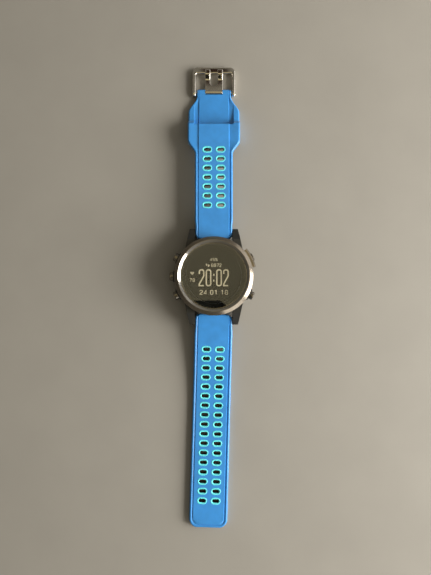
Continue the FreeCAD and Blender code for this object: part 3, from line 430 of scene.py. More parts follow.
SILICONE_BLUE = (silicone("silicone_blue", (0.041, 0.279, 0.690)), "strap_blue")
SILICONE_CYAN = (silicone("silicone_cyan", (0.15, 0.84, 0.88)), "liner_cyan")
# Painted shade: near black for the slots' inside walls, standing in for the shadow down in the slots.
SLOT_PAINTED_SHADE = (silicone("slot_painted_shade", (0.004, 0.016, 0.026)), "liner_cyan")
CASE_POLYMER = (moulded_plastic("case_polymer", (0.020, 0.019, 0.016)), "case_polymer")
BEZEL_STEEL = (turned_steel("bezel_steel", (0.30, 0.26, 0.21), (0.17, 0.27)), "bezel_steel")
CHAMFER_STEEL = (turned_steel("chamfer_steel", (0.50, 0.47, 0.43), (0.10, 0.16)), "bezel_steel")
BUTTON_STEEL = (plain_metal("button_steel", (0.20, 0.18, 0.15), (0.16, 0.28)), "button_steel")
BUCKLE_STEEL = (plain_metal("buckle_steel", (0.74, 0.70, 0.64), (0.05, 0.12)), "buckle_steel")
FASTENER_STEEL = (plain_metal("fastener_steel", (0.50, 0.49, 0.48), (0.2, 0.35)), "fastener_steel")
SPRING_STEEL = (plain_metal("spring_steel", (0.48, 0.48, 0.48), (0.2, 0.3)), "spring_steel")
COVER_STEEL = (turned_steel("cover_steel", (0.30, 0.30, 0.30), (0.3, 0.42), 0.08), "cover_steel")
INNER_METAL = (plain_metal("inner_metal", (0.55, 0.55, 0.55), (0.25, 0.4)), "inner_metal")
CELL_FOIL = (plain_metal("cell_foil", (0.60, 0.60, 0.61), (0.3, 0.45), 1.2), "cell_foil")
CONTACT_GOLD = (plain_metal("contact_gold", (0.83, 0.60, 0.24), (0.15, 0.25)), "contact_gold")
SEAL_BLACK = (silicone("seal_black", (0.02, 0.02, 0.02)), "seal_black")
BOARD_GREEN = (board("board_green", (0.02, 0.10, 0.05)), "board_green")
CHIP_BLACK = (moulded_plastic("chip_black", (0.02, 0.02, 0.02)), "chip_black")
LED_CLEAR = (glossy_plastic("led_clear", (0.30, 0.70, 0.35)), "led_clear")
FLEX_AMBER = (glossy_plastic("flex_amber", (0.50, 0.22, 0.03), (0.2, 0.3)), "flex_amber")
SENSOR_DARK = (glossy_plastic("sensor_dark", (0.012, 0.012, 0.014), (0.03, 0.08)), "sensor_dark")
LATCH_POLYMER = (moulded_plastic("latch_polymer", (0.035, 0.035, 0.035)), "latch_polymer")
LENS_GLASS = (lens_glass("lens_glass"), "lens_glass")
DISPLAY_GLASS = (display_face("display_glass", (0.007, 0.007, 0.006)), "display_glass")
SURROUND_BLACK = (glossy_plastic("surround_black", (0.006, 0.006, 0.005), (0.01, 0.02)), "surround_black")
PRINT_BEIGE = (moulded_plastic("print_beige", (0.27, 0.235, 0.155)), "display_glass")
PRINT_DIM = (moulded_plastic("print_dim", (0.27, 0.235, 0.155)), "display_glass")
PRINT_TICK = (moulded_plastic("print_tick", (0.10, 0.10, 0.075)), "surround_black")

LOOKS = {look[1]: look for look in (
    SILICONE_BLUE, SILICONE_CYAN, CASE_POLYMER, BEZEL_STEEL, BUTTON_STEEL, BUCKLE_STEEL,
    FASTENER_STEEL, SPRING_STEEL, COVER_STEEL, INNER_METAL, CELL_FOIL, CONTACT_GOLD, SEAL_BLACK,
    BOARD_GREEN, CHIP_BLACK, LED_CLEAR, FLEX_AMBER, SENSOR_DARK, LATCH_POLYMER, LENS_GLASS,
    DISPLAY_GLASS, SURROUND_BLACK)}


EDGE_WIDTHS = {"mid_case": 0.16, "start_button_guard": 0.35, "light_button": 0.15, "up_button": 0.15,
               "down_button": 0.15, "start_button": 0.15, "back_button": 0.15, "back_cover": 0.12}


def soften(node, width):
    """Rounds the machined edges of a CAD node, as a modifier."""
    weld = node.modifiers.new("weld", "WELD")
    weld.merge_threshold = 0.0005 * MM
    edge = node.modifiers.new("edge", "BEVEL")
    edge.width = width * MM
    edge.segments = 3
    edge.limit_method = "ANGLE"
    edge.angle_limit = math.radians(28)
    edge.harden_normals = True


def dress_nodes():
    """Every CAD node takes the procedural material of its slot; the ones in sight get soft edges."""
    for part in frame["record"]["subparts"]:
        node = NODES[part["node"]]
        node.data.materials.clear()
        node.data.materials.append(LOOKS[part["material_slot"]][0])
        if part["node"] in EDGE_WIDTHS:
            soften(node, EDGE_WIDTHS[part["node"]])


# ------------------------------------------------------------------------------ straps

def slab(rows, columns, half, top, bottom):
    """A closed solid between two height fields over a plan that is the same left and right."""
    bm = bmesh.new()
    skins = []
    for height in (top, bottom):
        skin = []
        for y in rows:
            reach = half(y)
            right = [min(x, reach - inset) for x, inset in columns]
            across = [-x for x in right] + list(reversed(right))
            skin.append([bm.verts.new((x, y, height(x, y))) for x in across])
        skins.append(skin)
    upper, lower = skins
    last_row, last_column = len(rows) - 1, len(upper[0]) - 1
    for i in range(last_row):
        for j in range(last_column):
            bm.faces.new((upper[i][j], upper[i][j + 1], upper[i + 1][j + 1], upper[i + 1][j]))
            bm.faces.new((lower[i][j], lower[i + 1][j], lower[i + 1][j + 1], lower[i][j + 1]))
        for j in (0, last_column):
            bm.faces.new((upper[i][j], upper[i + 1][j], lower[i + 1][j], lower[i][j]))
    for i in (0, last_row):
        for j in range(last_column):
            bm.faces.new((upper[i][j], upper[i][j + 1], lower[i][j + 1], lower[i][j]))
    return tidy(bm)


EDGE_STEPS = (0.0, 0.02, 0.07, 0.15, 0.26, 0.4, 0.56, 0.74, 0.95)
FIXED_COLUMNS = (13.2, 12.2, 11.5, 11.1, 10.92, 10.80, 10.71, 10.69, 10.3, 9.7, 9.2, 8.85, 8.6,
                 PANEL_HALF + GROOVE_WALL + 0.06, PANEL_HALF + GROOVE_WALL, PANEL_HALF + 0.14,
                 PANEL_HALF, PANEL_HALF - 0.08, PANEL_HALF - 0.2, 7.2, 6.0, 4.5, 3.0, 1.5, 0.0)
COLUMNS = [(LOOP_HALF, step) for step in EDGE_STEPS] + [(x, EDGE_STEPS[-1]) for x in FIXED_COLUMNS]


def close_rows(start, end, step):
    """Rows between two ends, dense at both for their rounded edges."""
    near = (0.0, 0.02, 0.07, 0.15, 0.28, 0.45, 0.7, 0.95, 1.2, 1.45, 1.62, 1.76, 1.9, 2.1, 2.4,
            2.8, 3.2, 3.6, 4.1)
    inner_start, inner_end = start + near[-1], end - near[-1]
    count = max(int((inner_end - inner_start) / step), 1)
    middle = [inner_start + (inner_end - inner_start) * i / count for i in range(1, count)]
    return [start + n for n in near] + middle + [end - n for n in reversed(near)]


def corner_half(full, to_end, radius):
    """The half width of a plan near an end with round corners."""
    return full - round_over(to_end, radius)


def edge_distance(side, to_end, radius):
    """How far a point lies in from the outline, round corners included."""
    if side < radius and to_end < radius:
        return radius - math.hypot(radius - side, radius - to_end)
    return min(side, to_end)


def groove(x, half, to_end=99.0):
    """The V groove round the raised panel: a steep wall, then a gentle rise to the lip."""
    side, end = PANEL_HALF - abs(x), to_end - PANEL_END
    out = -edge_distance(side, end, PANEL_CORNER)
    if out <= 0:
        return 0.0
    if out < GROOVE_WALL:
        return GROOVE_DEPTH * blend_step(out / GROOVE_WALL)
    rise = half - EDGE_ROUND - PANEL_HALF if side < end else PANEL_END - EDGE_ROUND
    share = (out - GROOVE_WALL) / max(rise - GROOVE_WALL, 0.1)
    return GROOVE_DEPTH + (LIP_DROP - GROOVE_DEPTH) * min(share, 1.0)


def strap_half(y):
    """Half the strap's width near the case, before any flare."""
    return END_HALF + (STRAP_HALF - END_HALF) * blend_step((y - WAIST_Y) / (WIDE_Y - WAIST_Y))


def knuckle_under(y, under):
    """The underside near the pin: the knuckle's circle, met by the strap's own underside."""
    if abs(y) >= KNUCKLE:
        return under
    return min(under, PIN_Z - math.sqrt(KNUCKLE ** 2 - y ** 2))


def lower_top(y):
    if y >= LOWER_FLAT:
        return THICK
    return THICK + LOWER_RADIUS - math.sqrt(LOWER_RADIUS ** 2 - (LOWER_FLAT - y) ** 2)


def lower_under(y):
    if y >= LOWER_FLAT:
        return 0.0
    reach = LOWER_RADIUS + THICK
    return knuckle_under(y, reach - math.sqrt(reach ** 2 - (LOWER_FLAT - y) ** 2))


def lower_half(y):
    to_end = min(LOWER_END - y, y - INNER_END)
    radius = TAIL_CORNER if y > LOWER_FLAT else CASE_CORNER
    return corner_half(strap_half(y), to_end, radius)


def lower_upper_skin(x, y):
    to_end = min(LOWER_END - y, y - INNER_END)
    radius = TAIL_CORNER if y > LOWER_FLAT else CASE_CORNER
    inside = edge_distance(strap_half(y) - abs(x), to_end, radius)
    tail = LOWER_END - y if y > LOWER_FLAT else 99.0
    return lower_top(y) - groove(x, strap_half(y), tail) - round_over(inside, EDGE_ROUND)


def lower_lower_skin(x, y):
    far_end = LOWER_END - y if y > LOWER_FLAT else LOWER_FLAT
    inside = edge_distance(strap_half(y) - abs(x), far_end, TAIL_CORNER)
    return lower_under(y) + round_over(inside, UNDER_ROUND)


def upper_half(y):
    """The upper half's plan: strap, flare, loop, taper and tip."""
    width = strap_half(y)
    width += (LOOP_HALF - STRAP_HALF) * blend_step((y - FLARE[0]) / (FLARE[1] - FLARE[0]))
    width -= (LOOP_HALF - TIP_HALF) * blend_step((y - FLARE[2]) / (FLARE[3] - FLARE[2]))
    to_end = y - INNER_END if y < FLARE[0] else UPPER_TIP - y
    radius = CASE_CORNER if y < FLARE[0] else 1.2
    return corner_half(width, to_end, radius)


def rail_top(y):
    """The height of the loop's side rails past the band's edge."""
    (low_y, low_z), (end_y, end_z) = RAIL_LOW
    if y < low_y:
        return UPPER_TOP + (low_z - UPPER_TOP) * blend_step((y - BAND_EDGE) / (low_y - BAND_EDGE))
    return low_z + (end_z - low_z) * min((y - low_y) / (end_y - low_y), 1.0)


def upper_upper_skin(x, y):
    half = upper_half(y)
    to_end = y - INNER_END if y < FLARE[0] else UPPER_TIP - y
    drop = round_over(min(half - abs(x), to_end), EDGE_ROUND)
    if y <= BAND_EDGE:
        lip = round_over(BAND_EDGE - y, 0.35) if abs(x) < LOOP_INNER else 0.0
        return UPPER_TOP - groove(x, half) - max(drop, lip)
    if abs(x) > LOOP_INNER:
        inner_lip = round_over(abs(x) - LOOP_INNER, 0.35)
        return max(rail_top(y) - max(drop, inner_lip), THICK - groove(x, half) - drop)
    return THICK - groove(x, half) - drop


def upper_lower_skin(x, y):
    half = upper_half(y)
    rise = round_over(half - abs(x), UNDER_ROUND)
    band = UPPER_TOP - THICK
    if abs(x) > LOOP_INNER:
        post = band * (1 - blend_step((y - POST_TOP) / (POST_FOOT - POST_TOP)))
        return max(post, 0.0) + rise
    if y < FLOOR_START:
        return knuckle_under(y, band) + rise
    return round_over(UPPER_TIP - y, UNDER_ROUND)


def stadium(length, width, steps=10):
    """The outline of a slot with round ends, centred on the origin, longer in X."""
    end, radius = (length - width) / 2, width / 2
    outline = []
    for side, start in ((1, -math.pi / 2), (-1, math.pi / 2)):
        for i in range(steps + 1):
            angle = start + math.pi * i / steps
            outline.append((side * end + radius * math.cos(angle), radius * math.sin(angle)))
    return outline


def slot_places(name):
    rows = [SLOT_FIRST[name] + SLOT_PITCH * row for row in range(ROWS[name])]
    return [(side * SLOT_X, y) for y in rows for side in (-1, 1)]


def slot_cutters(name):
    outline = stadium(*LINER_SIZE)
    return merged([prism([(x + px, y + py) for px, py in outline], -5, 20) for x, y in slot_places(name)])


# Across a liner: (share of the way from outside to inside, height above the strap's top)
LINER_CROWN = ((0.0, -0.12), (0.02, 0.0), (0.10, 0.06), (0.25, 0.09), (0.5, 0.09), (0.72, 0.04),
               (0.88, -0.08), (0.97, -0.25), (1.0, -0.5))


def slot_liners(name, top, under):
    """The bright rims of the slots, crowned at the top, with painted shade on the walls inside."""
    outer, inner = stadium(*LINER_SIZE), stadium(*SLOT_SIZE)
    count = len(outer)
    bm = bmesh.new()
    for x, y in slot_places(name):
        rings = []
        for share, lift in LINER_CROWN + ((1.0, None), (0.0, None)):
            ring = []
            for (ox, oy), (ix, iy) in zip(outer, inner):
                px, py = x + ox + (ix - ox) * share, y + oy + (iy - oy) * share
                height = under(py) + 0.02 if lift is None else top(py) + lift
                ring.append(bm.verts.new((px, py, height)))
            rings.append(ring)
        for k, ring in enumerate(rings):
            after = rings[(k + 1) % len(rings)]
            for i in range(count):
                j = (i + 1) % count
                face = bm.faces.new((ring[i], ring[j], after[j], after[i]))
                # The two bands down the inside walls take material 1, the painted shade.
                face.material_index = 1 if k in (len(LINER_CROWN) - 1, len(LINER_CROWN) - 2) else 0
    return tidy(bm)


def latch_housing(name):
    """The thicker pad under each strap end, which the quick-release latch sits in."""
    low = low_corner("upper_latch_plate")
    high = high_corner("upper_latch_plate")
    front, back = low.y - PIN_Y - 1.6, high.y - PIN_Y + 1.0
    half = high.x + 1.5
    corners = [(-half, front, 1.0), (half, front, 1.0), (half, back, 1.0), (-half, back, 1.0)]
    pad = prism(rounded(corners, closed=True), low.z - 0.3, high.z + 0.4)
    recess_half, gap = high.x + 0.05, 0.05
    recess = prism([(-recess_half, low.y - PIN_Y - gap), (recess_half, low.y - PIN_Y - gap),
                    (recess_half, high.y - PIN_Y + gap), (-recess_half, high.y - PIN_Y + gap)],
                   -1, high.z)
    return pad, recess


def finished_strap(bm, name, extra_cuts=()):
    pad, recess = latch_housing(name)
    bm = combine(bm, pad, "UNION")
    cuts = [recess, rod(1.25, -20, 20, 0, PIN_Z), slot_cutters(name)]
    for cutter in cuts + list(extra_cuts):
        bm = combine(bm, cutter)
    return bm


def lower_strap():
    rows = close_rows(INNER_END, LOWER_END, 2.2)
    bm = slab(rows, COLUMNS, lower_half, lower_upper_skin, lower_lower_skin)
    place(finished_strap(bm, "lower"), "lower_strap_silicone", "lower_strap_body",
          SILICONE_BLUE, ("lower_strap",), "lower")
    liners = place(slot_liners("lower", lower_top, lower_under), "lower_slot_liners",
                   "lower_strap_body", SILICONE_CYAN, ("lower_slot_rims",), "lower")
    liners.data.materials.append(SLOT_PAINTED_SHADE[0])


def upper_strap():
    lip = [BAND_EDGE - d for d in (1.0, 0.6, 0.35, 0.22, 0.1, 0.03, 0.0)] + [BAND_EDGE + 0.01]
    floor = [FLOOR_START - 0.01, FLOOR_START + 0.01]
    plain = [y for y in close_rows(INNER_END, UPPER_TIP, 1.0)
             if abs(y - BAND_EDGE) > 1.1 and abs(y - FLOOR_START) > 0.2]
    ramp = [BAND_EDGE + d for d in (0.3, 0.7, 1.0)]
    rows = sorted(plain + lip + floor + ramp)
    bm = slab(rows, COLUMNS, upper_half, upper_upper_skin, upper_lower_skin)
    under = UPPER_TOP - THICK
    inner = LOOP_INNER - 0.01
    tunnel = prism([(-inner, FLOOR_START - 1), (inner, FLOOR_START - 1), (inner, BAND_EDGE + 1),
                    (-inner, BAND_EDGE + 1)], THICK, under)
    notch_corners = [(-NOTCH_HALF, UPPER_TIP + 3, 0), (-NOTCH_HALF, NOTCH_Y, 0.5),
                     (NOTCH_HALF, NOTCH_Y, 0.5), (NOTCH_HALF, UPPER_TIP + 3, 0)]
    notch = prism(rounded(notch_corners, closed=True), -2, 12)
    bore = rod(0.85, -20, 20, BUCKLE_PIN.y - PIN_Y, BUCKLE_PIN.z)
    bm = finished_strap(bm, "upper", (tunnel, notch, bore))
    place(bm, "upper_strap_silicone", "upper_strap_body", SILICONE_BLUE, ("upper_strap",), "upper")
    liners = place(slot_liners("upper", lambda y: UPPER_TOP, lambda y: UPPER_TOP - THICK),
                   "upper_slot_liners", "upper_strap_body", SILICONE_CYAN, ("upper_slot_rims",), "upper")
    liners.data.materials.append(SLOT_PAINTED_SHADE[0])


# ------------------------------------------------------------------------------- buckle

FRAME_HALF, FRAME_INNER, FRAME_BACK = 11.95, 10.1, -2.3
BAR_INNER, BAR_OUTER, OUTER_TURN, INNER_TURN = 10.5, 14.3, 3.0, 1.1
FRAME_TOP, FRAME_BOTTOM = high_corner("buckle_frame").z, low_corner("buckle_frame").z


def u_path(half, back, front, turn, steps):
    """Half of a U in plan: up the left side, round the corner, to the middle of the front."""
    side, across = steps
    path = []
    for i in range(side):
        path.append(Vector((-half, back + (front - turn - back) * blend_ends(i / (side - 1)))))
    for i in range(1, 12):
        angle = math.pi - math.pi / 2 * i / 12
        path.append(Vector((-half + turn, front - turn)) + turn * Vector((math.cos(angle), math.sin(angle))))
    for i in range(across):
        path.append(Vector((-(half - turn) * (1 - i / across), front)))
    return path


def blend_ends(t):
    """Stations packed closer at the start, where the ear's end is rounded."""
    return t * t * (2 - t)


def buckle_frame():
    """A polished U: slim domed sides, and a front bar that falls away on its outer edge."""
    steps = (16, 6)
    outer = u_path(FRAME_HALF, FRAME_BACK, BAR_OUTER, OUTER_TURN, steps)
    inner = u_path(FRAME_INNER, FRAME_BACK, BAR_INNER, INNER_TURN, steps)
    middle = (FRAME_TOP + FRAME_BOTTOM) / 2
    full = (FRAME_TOP - FRAME_BOTTOM) / 2
    sections = []
    for i, (out, into) in enumerate(zip(outer, inner)):
        width = (into - out).length
        from_end = out.y - FRAME_BACK
        half = max(math.sqrt(max(full ** 2 - max(full - from_end, 0) ** 2, 0)), 0.12)
        bar = blend_step((i - 15) / 10)
        top_out = min(0.75 + 0.75 * bar, half * 0.98, width * 0.6)
        top_in = min(0.6, half * 0.98, width * 0.35)
        low = min(0.3, half * 0.9)
        corners = [(0, middle - half, low), (width, middle - half, low), (width, middle + half, top_in),
                   (0, middle + half, top_out)]
        ring = []
        for point in rounded(corners, closed=True, steps=7):
            spot = out + (into - out) * (point.x / width)
            ring.append((spot.x, spot.y, point.y))
        sections.append(ring)
    sections += [[(-x, y, z) for x, y, z in ring] for ring in reversed(sections)]
    bm = bmesh.new()
    rings = [[bm.verts.new(point) for point in ring] for ring in sections]
    count = len(rings[0])
    for ring, after in zip(rings, rings[1:]):
        for k in range(count):
            m = (k + 1) % count
            bm.faces.new((ring[k], after[k], after[m], ring[m]))
    bm.faces.new(rings[0])
    bm.faces.new(rings[-1])
    bm = combine(tidy(bm), rod(0.8, -20, 20, 0, BUCKLE_PIN.z))
    place(bm, "buckle_frame_polished", "buckle_body", BUCKLE_STEEL, ("buckle_frame",), "buckle", 32)


def bevelled(bm, width, segments=3, angle=30):
    """The same solid with its sharp edges rounded."""
    thing = as_object(bm, "sharp")
    edge = thing.modifiers.new("edge", "BEVEL")
    edge.width, edge.segments = width, segments
    edge.limit_method = "ANGLE"
    edge.angle_limit = math.radians(angle)
    graph = bpy.context.evaluated_depsgraph_get()
    result = bmesh.new()
    result.from_mesh(bpy.data.meshes.new_from_object(thing.evaluated_get(graph)))
    bpy.data.objects.remove(thing)
    return result


def buckle_tongue():
    """Two flat prongs joined by a rounded U to a plate and a barrel on the pin."""
    z, rest = BUCKLE_PIN.z, FRAME_TOP + 0.08
    high = high_corner("buckle_tongue")
    half, tip = high.x, high.y - BUCKLE_PIN.y
    side = [(0, z - 0.55, 0), (8.4, z - 0.45, 0.8), (BAR_INNER - 0.3, rest, 0.5), (tip, rest, 0.3),
            (tip, high.z, 0.5), (9.6, high.z, 1.2), (7.0, z + 0.95, 1.5), (1.0, z + 0.95, 0.4),
            (0, z + 0.95, 0)]
    profile = [(p.x, p.y) for p in rounded(side, closed=True, steps=4)]
    blank = prism(profile, -half, half)
    blank.transform(Matrix(((0, 0, 1, 0), (1, 0, 0, 0), (0, 1, 0, 0), (0, 0, 0, 1))))
    gap = 2.05
    mouth = [(-gap, tip + 3, 0), (-gap, 3.3, gap * 0.98), (gap, 3.3, gap * 0.98), (gap, tip + 3, 0)]
    bm = combine(blank, prism(rounded(mouth, closed=True, steps=8), -5, 12))
    bm = bevelled(bm, 0.42)
    bm = combine(bm, bevelled(rod(1.3, -4.75, 4.75, 0, z), 0.2), "UNION")
    bm = combine(bm, rod(0.82, -20, 20, 0, z))
    place(bm, "buckle_prongs", "tongue_body", BUCKLE_STEEL, ("buckle_tongue",), "buckle", 32)


# -------------------------------------------------------------------------- bezel and lens

def bezel():
    """The steel ring: satin outside, with a polished chamfer down to the lens."""
    r, foot, crest = BEZEL_RADIUS, BEZEL_FOOT, BEZEL_CREST
    mouth, seat = LENS_RADIUS + 0.05, SEAT_RADIUS
    ledge, spigot, step = seat - 0.95, 18.52, foot + 0.62
    corners = [(spigot, foot, 0.05), (r - 0.2, foot, 0.15), (r, foot + 1.1, 0.5),
               (r - 0.06, foot + 1.6, 0.15),
               (r - 1.95, crest, 0.08), (r - 2.15, crest, 0.06), (mouth, LENS_TOP, 0.08),
               (mouth, LENS_TOP - 0.6, 0.05), (seat, LENS_TOP - 0.6, 0.05), (seat, LENS_BOTTOM - 0.05, 0.05),
               (ledge, LENS_BOTTOM - 0.05, 0.05), (ledge, step, 0.05), (spigot, step, 0.05)]
    profile = [(p.x, p.y) for p in rounded(corners, closed=True, steps=5)]
    piece = place(lathe(profile, 256), "bezel_ring", "watch_case", BEZEL_STEEL, ("bezel",), sharp=22)
    piece.data.materials.append(CHAMFER_STEEL[0])
    inner_edge = (r - 2.12) * MM
    for face in piece.data.polygons:
        centre = face.center
        if centre.z > (LENS_TOP - 0.05) * MM and math.hypot(centre.x, centre.y) < inner_edge:
            face.material_index = 1


def lens():
    r = LENS_RADIUS
    corners = [(0, LENS_BOTTOM, 0), (r - 0.4, LENS_BOTTOM, 0), (r, LENS_BOTTOM, 0),
               (r, LENS_TOP - 0.22, 0.05),
               (r - 0.22, LENS_TOP, 0.08), (r - 0.6, LENS_TOP, 0), (0, LENS_TOP, 0)]
    profile = [(p.x, p.y) for p in rounded(corners, steps=4)]
    crystal = place(lathe(profile, 256, closed=False), "lens_crystal", "watch_case", LENS_GLASS, ("lens",))
    crystal.visible_shadow = False


# -------------------------------------------------------------------------------- display

# Each numeral is a list of strokes on a unit square: points of (x, y, share of roundness)
NUMERALS = {
    "0": [[(0, 0, 1), (1, 0, 1), (1, 1, 1), (0, 1, 1), "closed"]],
    "1": [[(0.2, 0.82, 0), (0.6, 1, 0), (0.6, 0, 0)]],
    "2": [[(0, 0.74, 0), (0, 1, 1), (1, 1, 1), (1, 0.62, 0.6), (0, 0.1, 0), (0, 0, 0), (1, 0, 0)]],
    "4": [[(0.78, 0, 0), (0.78, 1, 0), (0, 0.27, 0), (1, 0.27, 0)]],
    "5": [[(1, 1, 0), (0, 1, 0), (0, 0.56, 0), (1, 0.56, 1), (1, 0, 1), (0, 0, 1), (0, 0.2, 0)]],
    "6": [[(1, 0.8, 0), (1, 1, 1), (0, 1, 1), (0, 0, 1), (1, 0, 1), (1, 0.55, 1), (0, 0.55, 0)]],
    "7": [[(0, 1, 0), (1, 1, 0), (0.35, 0, 0)]],
    "8": [[(0, 0, 1), (1, 0, 1), (1, 0.53, 1), (0, 0.53, 1), "closed"],
          [(0, 0.53, 1), (1, 0.53, 1), (1, 1, 1), (0, 1, 1), "closed"]],
    "9": [[(0, 0.2, 0), (0, 0, 1), (1, 0, 1), (1, 1, 1), (0, 1, 1), (0, 0.45, 1), (1, 0.45, 0)]],
    ".": [[(0.4, 0.0, 0), (0.6, 0.0, 0)]],
    ":": [[(0.5, 0.62, 0), (0.5, 0.74, 0)], [(0.5, 0.26, 0), (0.5, 0.38, 0)]],
    "%": [[(0.05, 0, 0), (0.95, 1, 0)], [(0, 0.7, 0), (0.25, 0.7, 0), (0.25, 1, 0), (0, 1, 0), "closed"],
          [(0.75, 0, 0), (1, 0, 0), (1, 0.3, 0), (0.75, 0.3, 0), "closed"]],
}
PRINT_THICK = 0.02


def ribbon(points, width, closed, level):
    """A flat band along a path, as one thin closed solid."""
    count = len(points)
    half = width / 2
    left, right = [], []
    for i, here in enumerate(points):
        before = points[i - 1] if closed or i > 0 else here
        after = points[(i + 1) % count] if closed or i < count - 1 else here
        into = (here - before).normalized() if (here - before).length > 1e-6 else (after - here).normalized()
        out = (after - here).normalized() if (after - here).length > 1e-6 else into
        way = (into + out).normalized()
        square = Vector((-way.y, way.x))
        reach = half / max(way.dot(out), 0.5)
        left.append(here + square * reach)
        right.append(here - square * reach)
    bm = bmesh.new()
    grid = [[bm.verts.new((p.x, p.y, level + lift)) for p in side]
            for side, lift in ((left, 0), (right, 0), (right, PRINT_THICK), (left, PRINT_THICK))]
    for i in range(count if closed else count - 1):
        j = (i + 1) % count
        for k in range(4):
            m = (k + 1) % 4
            bm.faces.new((grid[k][i], grid[k][j], grid[m][j], grid[m][i]))
    if not closed:
        for i in (0, count - 1):
            bm.faces.new([grid[k][i] for k in range(4)])
    return tidy(bm, 0.0004)


def numeral(symbol, x, y, width, height, stroke, level):
    """One numeral in a box whose lower left corner is at (x, y)."""
    inner_width, inner_height = width - stroke, height - stroke
    bend = min(inner_width * 0.42, inner_height * 0.24)
    solids = []
    for path in NUMERALS[symbol]:
        closed = path[-1] == "closed"
        corners = [(x + stroke / 2 + px * inner_width, y + stroke / 2 + py * inner_height, soft * bend)
                   for px, py, soft in (path[:-1] if closed else path)]
        points = rounded(corners, closed, steps=5)
        solids.append(ribbon(points, stroke, closed, level))
    return solids


def number_row(text, centre_x, y, width, height, stroke, gap, level):
    """A row of numerals; points and colons take less room."""
    widths = [width * (0.42 if symbol in ".:" else 1.0) for symbol in text]
    total = sum(widths) + gap * (len(text) - 1)
    x = centre_x - total / 2
    solids = []
    for symbol, wide in zip(text, widths):
        solids += numeral(symbol, x, y - height / 2, wide, height, stroke, level)
        x += wide + gap
    return solids


def flat_shape(outline, level):
    return prism(outline, level, level + PRINT_THICK)


def heart(x, y, size, level):
    outline = []
    for i in range(28):
        t = 2 * math.pi * i / 28
        across = math.sin(t) ** 3
        up = (13 * math.cos(t) - 5 * math.cos(2 * t) - 2 * math.cos(3 * t) - math.cos(4 * t)) / 16
        outline.append((x + across * size / 2, y + up * size / 2))
    outline.reverse()
    return flat_shape(outline, level)


def leaf(x, y, length, width, tilt, level):
    """A plain oval, one of the two that stand for steps."""
    turn = Matrix.Rotation(math.radians(tilt), 2)
    outline = []
    for i in range(20):
        t = 2 * math.pi * i / 20
        point = turn @ Vector((width / 2 * math.cos(t), length / 2 * math.sin(t)))
        outline.append((x + point.x, y + point.y))
    return flat_shape(outline, level)


def display():
    """What the display shows and the marks on its border."""
    level = PANEL_TOP + 0.01
    bright = number_row("20:02", 0.0, -1.05, 3.05, 9.0, 0.74, 0.58, level)
    bright += number_row("24.01.18", 0.0, -8.7, 1.75, 2.5, 0.42, 0.42, level)
    place(merged(bright), "display_time", "watch_case", PRINT_BEIGE)
    dim = number_row("6972", 1.35, 5.5, 1.15, 1.9, 0.28, 0.27, level)
    dim += number_row("45%", 0.0, 8.5, 1.1, 1.6, 0.24, 0.3, level)
    dim += number_row("79", -11.3, -2.3, 1.25, 1.9, 0.3, 0.3, level)
    dim += [heart(-11.3, 1.35, 2.1, level), leaf(-3.75, 5.8, 1.3, 0.8, 12, level),
            leaf(-2.7, 5.3, 1.3, 0.8, -12, level)]
    place(merged(dim), "display_data", "watch_case", PRINT_DIM)
    border = SURROUND_TOP + 0.01
    ticks = []
    for i in range(60):
        angle = 2 * math.pi * i / 60
        way = Vector((math.sin(angle), math.cos(angle)))
        length = 0.75 if i % 5 == 0 else 0.35
        ticks.append(ribbon([way * 16.8, way * (16.8 - length)], 0.14, False, border))
    place(merged(ticks), "border_ticks", "watch_case", PRINT_TICK)


# ---------------------------------------------------------------------------------- stage

TABLE = (0.34, 0.315, 0.272)


def table():
    look = Look("table_top", Specular_IOR_Level=0.3)
    look.colour(look.noise(30.0, 6.0), shaded(TABLE, 0.97), shaded(TABLE, 1.03))
    look.roughness(look.noise(3.0, 4.0), 0.55, 0.7)
    bm = bmesh.new()
    bmesh.ops.create_grid(bm, x_segments=1, y_segments=1, size=20)
    ground = as_object(bm, "table")
    ground.data.materials.append(look.material)


def soft_light(name, place_at, aim, size, power, colour):
    lamp = bpy.data.lights.new(name, "AREA")
    lamp.shape = "RECTANGLE"
    lamp.size, lamp.size_y = size
    lamp.energy = power
    lamp.color = colour
    thing = bpy.data.objects.new(name, lamp)
    bpy.context.scene.collection.objects.link(thing)
    thing.location = place_at
    thing.rotation_euler = (Vector(aim) - Vector(place_at)).to_track_quat("-Z", "Y").to_euler()


ROOM_LEFT, ROOM_MIDDLE = (0.095, 0.088, 0.075, 1.0), (0.21, 0.195, 0.158, 1.0)
ROOM_RIGHT = (0.38, 0.37, 0.355, 1.0)


def lights():
    """A wide soft window low on the right, two weaker panels beside it, and a room darker to the left."""
    world = bpy.data.worlds.new("room")
    world.use_nodes = True
    tree = world.node_tree
    back = tree.nodes["Background"]
    coords = tree.nodes.new("ShaderNodeTexCoord")
    axes = tree.nodes.new("ShaderNodeSeparateXYZ")
    span = tree.nodes.new("ShaderNodeMapRange")
    ramp = tree.nodes.new("ShaderNodeValToRGB")
    span.inputs["From Min"].default_value = -1.0
    tree.links.new(coords.outputs["Generated"], axes.inputs["Vector"])
    tree.links.new(axes.outputs["X"], span.inputs["Value"])
    tree.links.new(span.outputs["Result"], ramp.inputs["Fac"])
    tree.links.new(ramp.outputs["Color"], back.inputs["Color"])
    stops = ramp.color_ramp.elements
    stops[0].color = ROOM_LEFT
    stops[1].color = ROOM_RIGHT
    stops.new(0.5).color = ROOM_MIDDLE
    bpy.context.scene.world = world
    soft_light("window", (0.80, -0.14, 0.34), (0, 0, 0), (0.62, 0.5), 16.0, (1.0, 0.985, 0.95))
    soft_light("panel_north", (0.64, 0.48, 0.24), (0, 0, 0), (0.55, 0.34), 1.3, (1.0, 0.97, 0.92))
    soft_light("panel_south", (0.46, -0.68, 0.24), (0, 0, 0), (0.55, 0.34), 1.3, (1.0, 0.97, 0.92))


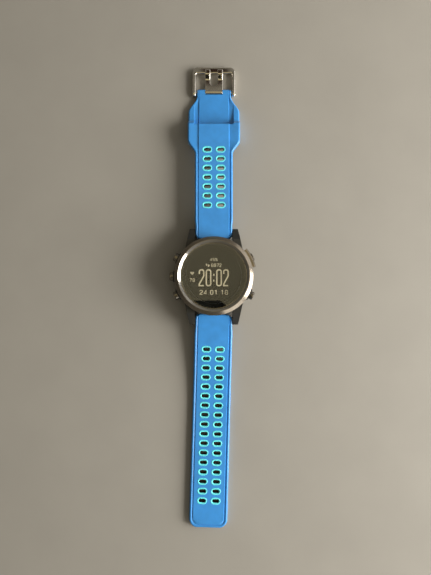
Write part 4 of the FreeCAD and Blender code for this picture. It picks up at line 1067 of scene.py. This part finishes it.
def reflected_card(name, colour, outline, height):
    """A glowing or dark card that shows in reflections and through the lens, never directly."""
    look = Look(name, Base_Color=(0.0, 0.0, 0.0, 1.0), Specular_IOR_Level=0.0, Emission_Strength=1.0)
    glow = look.ramp(look.noise(120.0), [(0.3, shaded(colour, 0.95)), (0.7, shaded(colour, 1.05))])
    look.link(glow, look.surface.inputs["Emission Color"])
    bm = bmesh.new()
    bm.faces.new([bm.verts.new((x, y, height)) for x, y in outline])
    bm.transform(Matrix.Scale(MM, 4))
    card = as_object(bm, name)
    card.data.materials.append(look.material)
    for ray in ("camera", "diffuse", "shadow", "volume_scatter"):
        setattr(card, "visible_" + ray, False)


CEILING_HALF, CEILING_HEIGHT, PHONE_HEIGHT = 420, 700, 239.5


def cards():
    """Painted reflections for the shiny faces: a dim glowing ceiling, a phone above the watch, and a dark strip to
    the north that paints dark reflections on the buckle.
    """
    ceiling = [(CEILING_HALF * x, CEILING_HALF * y) for x, y in ((-1, -1), (1, -1), (1, 1), (-1, 1))]
    reflected_card("ceiling", (0.56, 0.48, 0.29), ceiling, CEILING_HEIGHT)
    phone = rounded([(-60, -10, 0), (13.5, -10, 11.0), (13.5, -150, 0), (-60, -150, 0)], closed=True)
    reflected_card("phone", (0.004, 0.004, 0.004), phone, PHONE_HEIGHT)
    # Painted reflection: this dark strip stands for nothing in the room; it only darkens the reflections on the
    # buckle's prongs.
    dark_reflection_strip = [(-15, 231), (15, 231), (15, 262), (-15, 262)]
    reflected_card("dark_reflection_strip", (0.022, 0.008, 0.004), dark_reflection_strip, PHONE_HEIGHT)


def camera():
    """A phone held level above the watch, a little below its middle."""
    lens_data = bpy.data.cameras.new("camera")
    lens_data.sensor_fit = "VERTICAL"
    lens_data.sensor_height = 24.0
    focal_pixels, picture_height = 432.0, 575.0
    lens_data.lens = lens_data.sensor_height * focal_pixels / picture_height
    lens_data.clip_start = 0.01
    eye = bpy.data.objects.new("camera", lens_data)
    bpy.context.scene.collection.objects.link(eye)
    eye.location = (0.0009, -0.016, 0.238)
    eye.rotation_euler = (math.radians(2.5), 0, 0)
    bpy.context.scene.camera = eye


bpy.context.scene.view_settings.view_transform = "Standard"
camera()
dress_nodes()
upper_strap()
lower_strap()
buckle_frame()
buckle_tongue()
bezel()
lens()
display()
table()
lights()
cards()
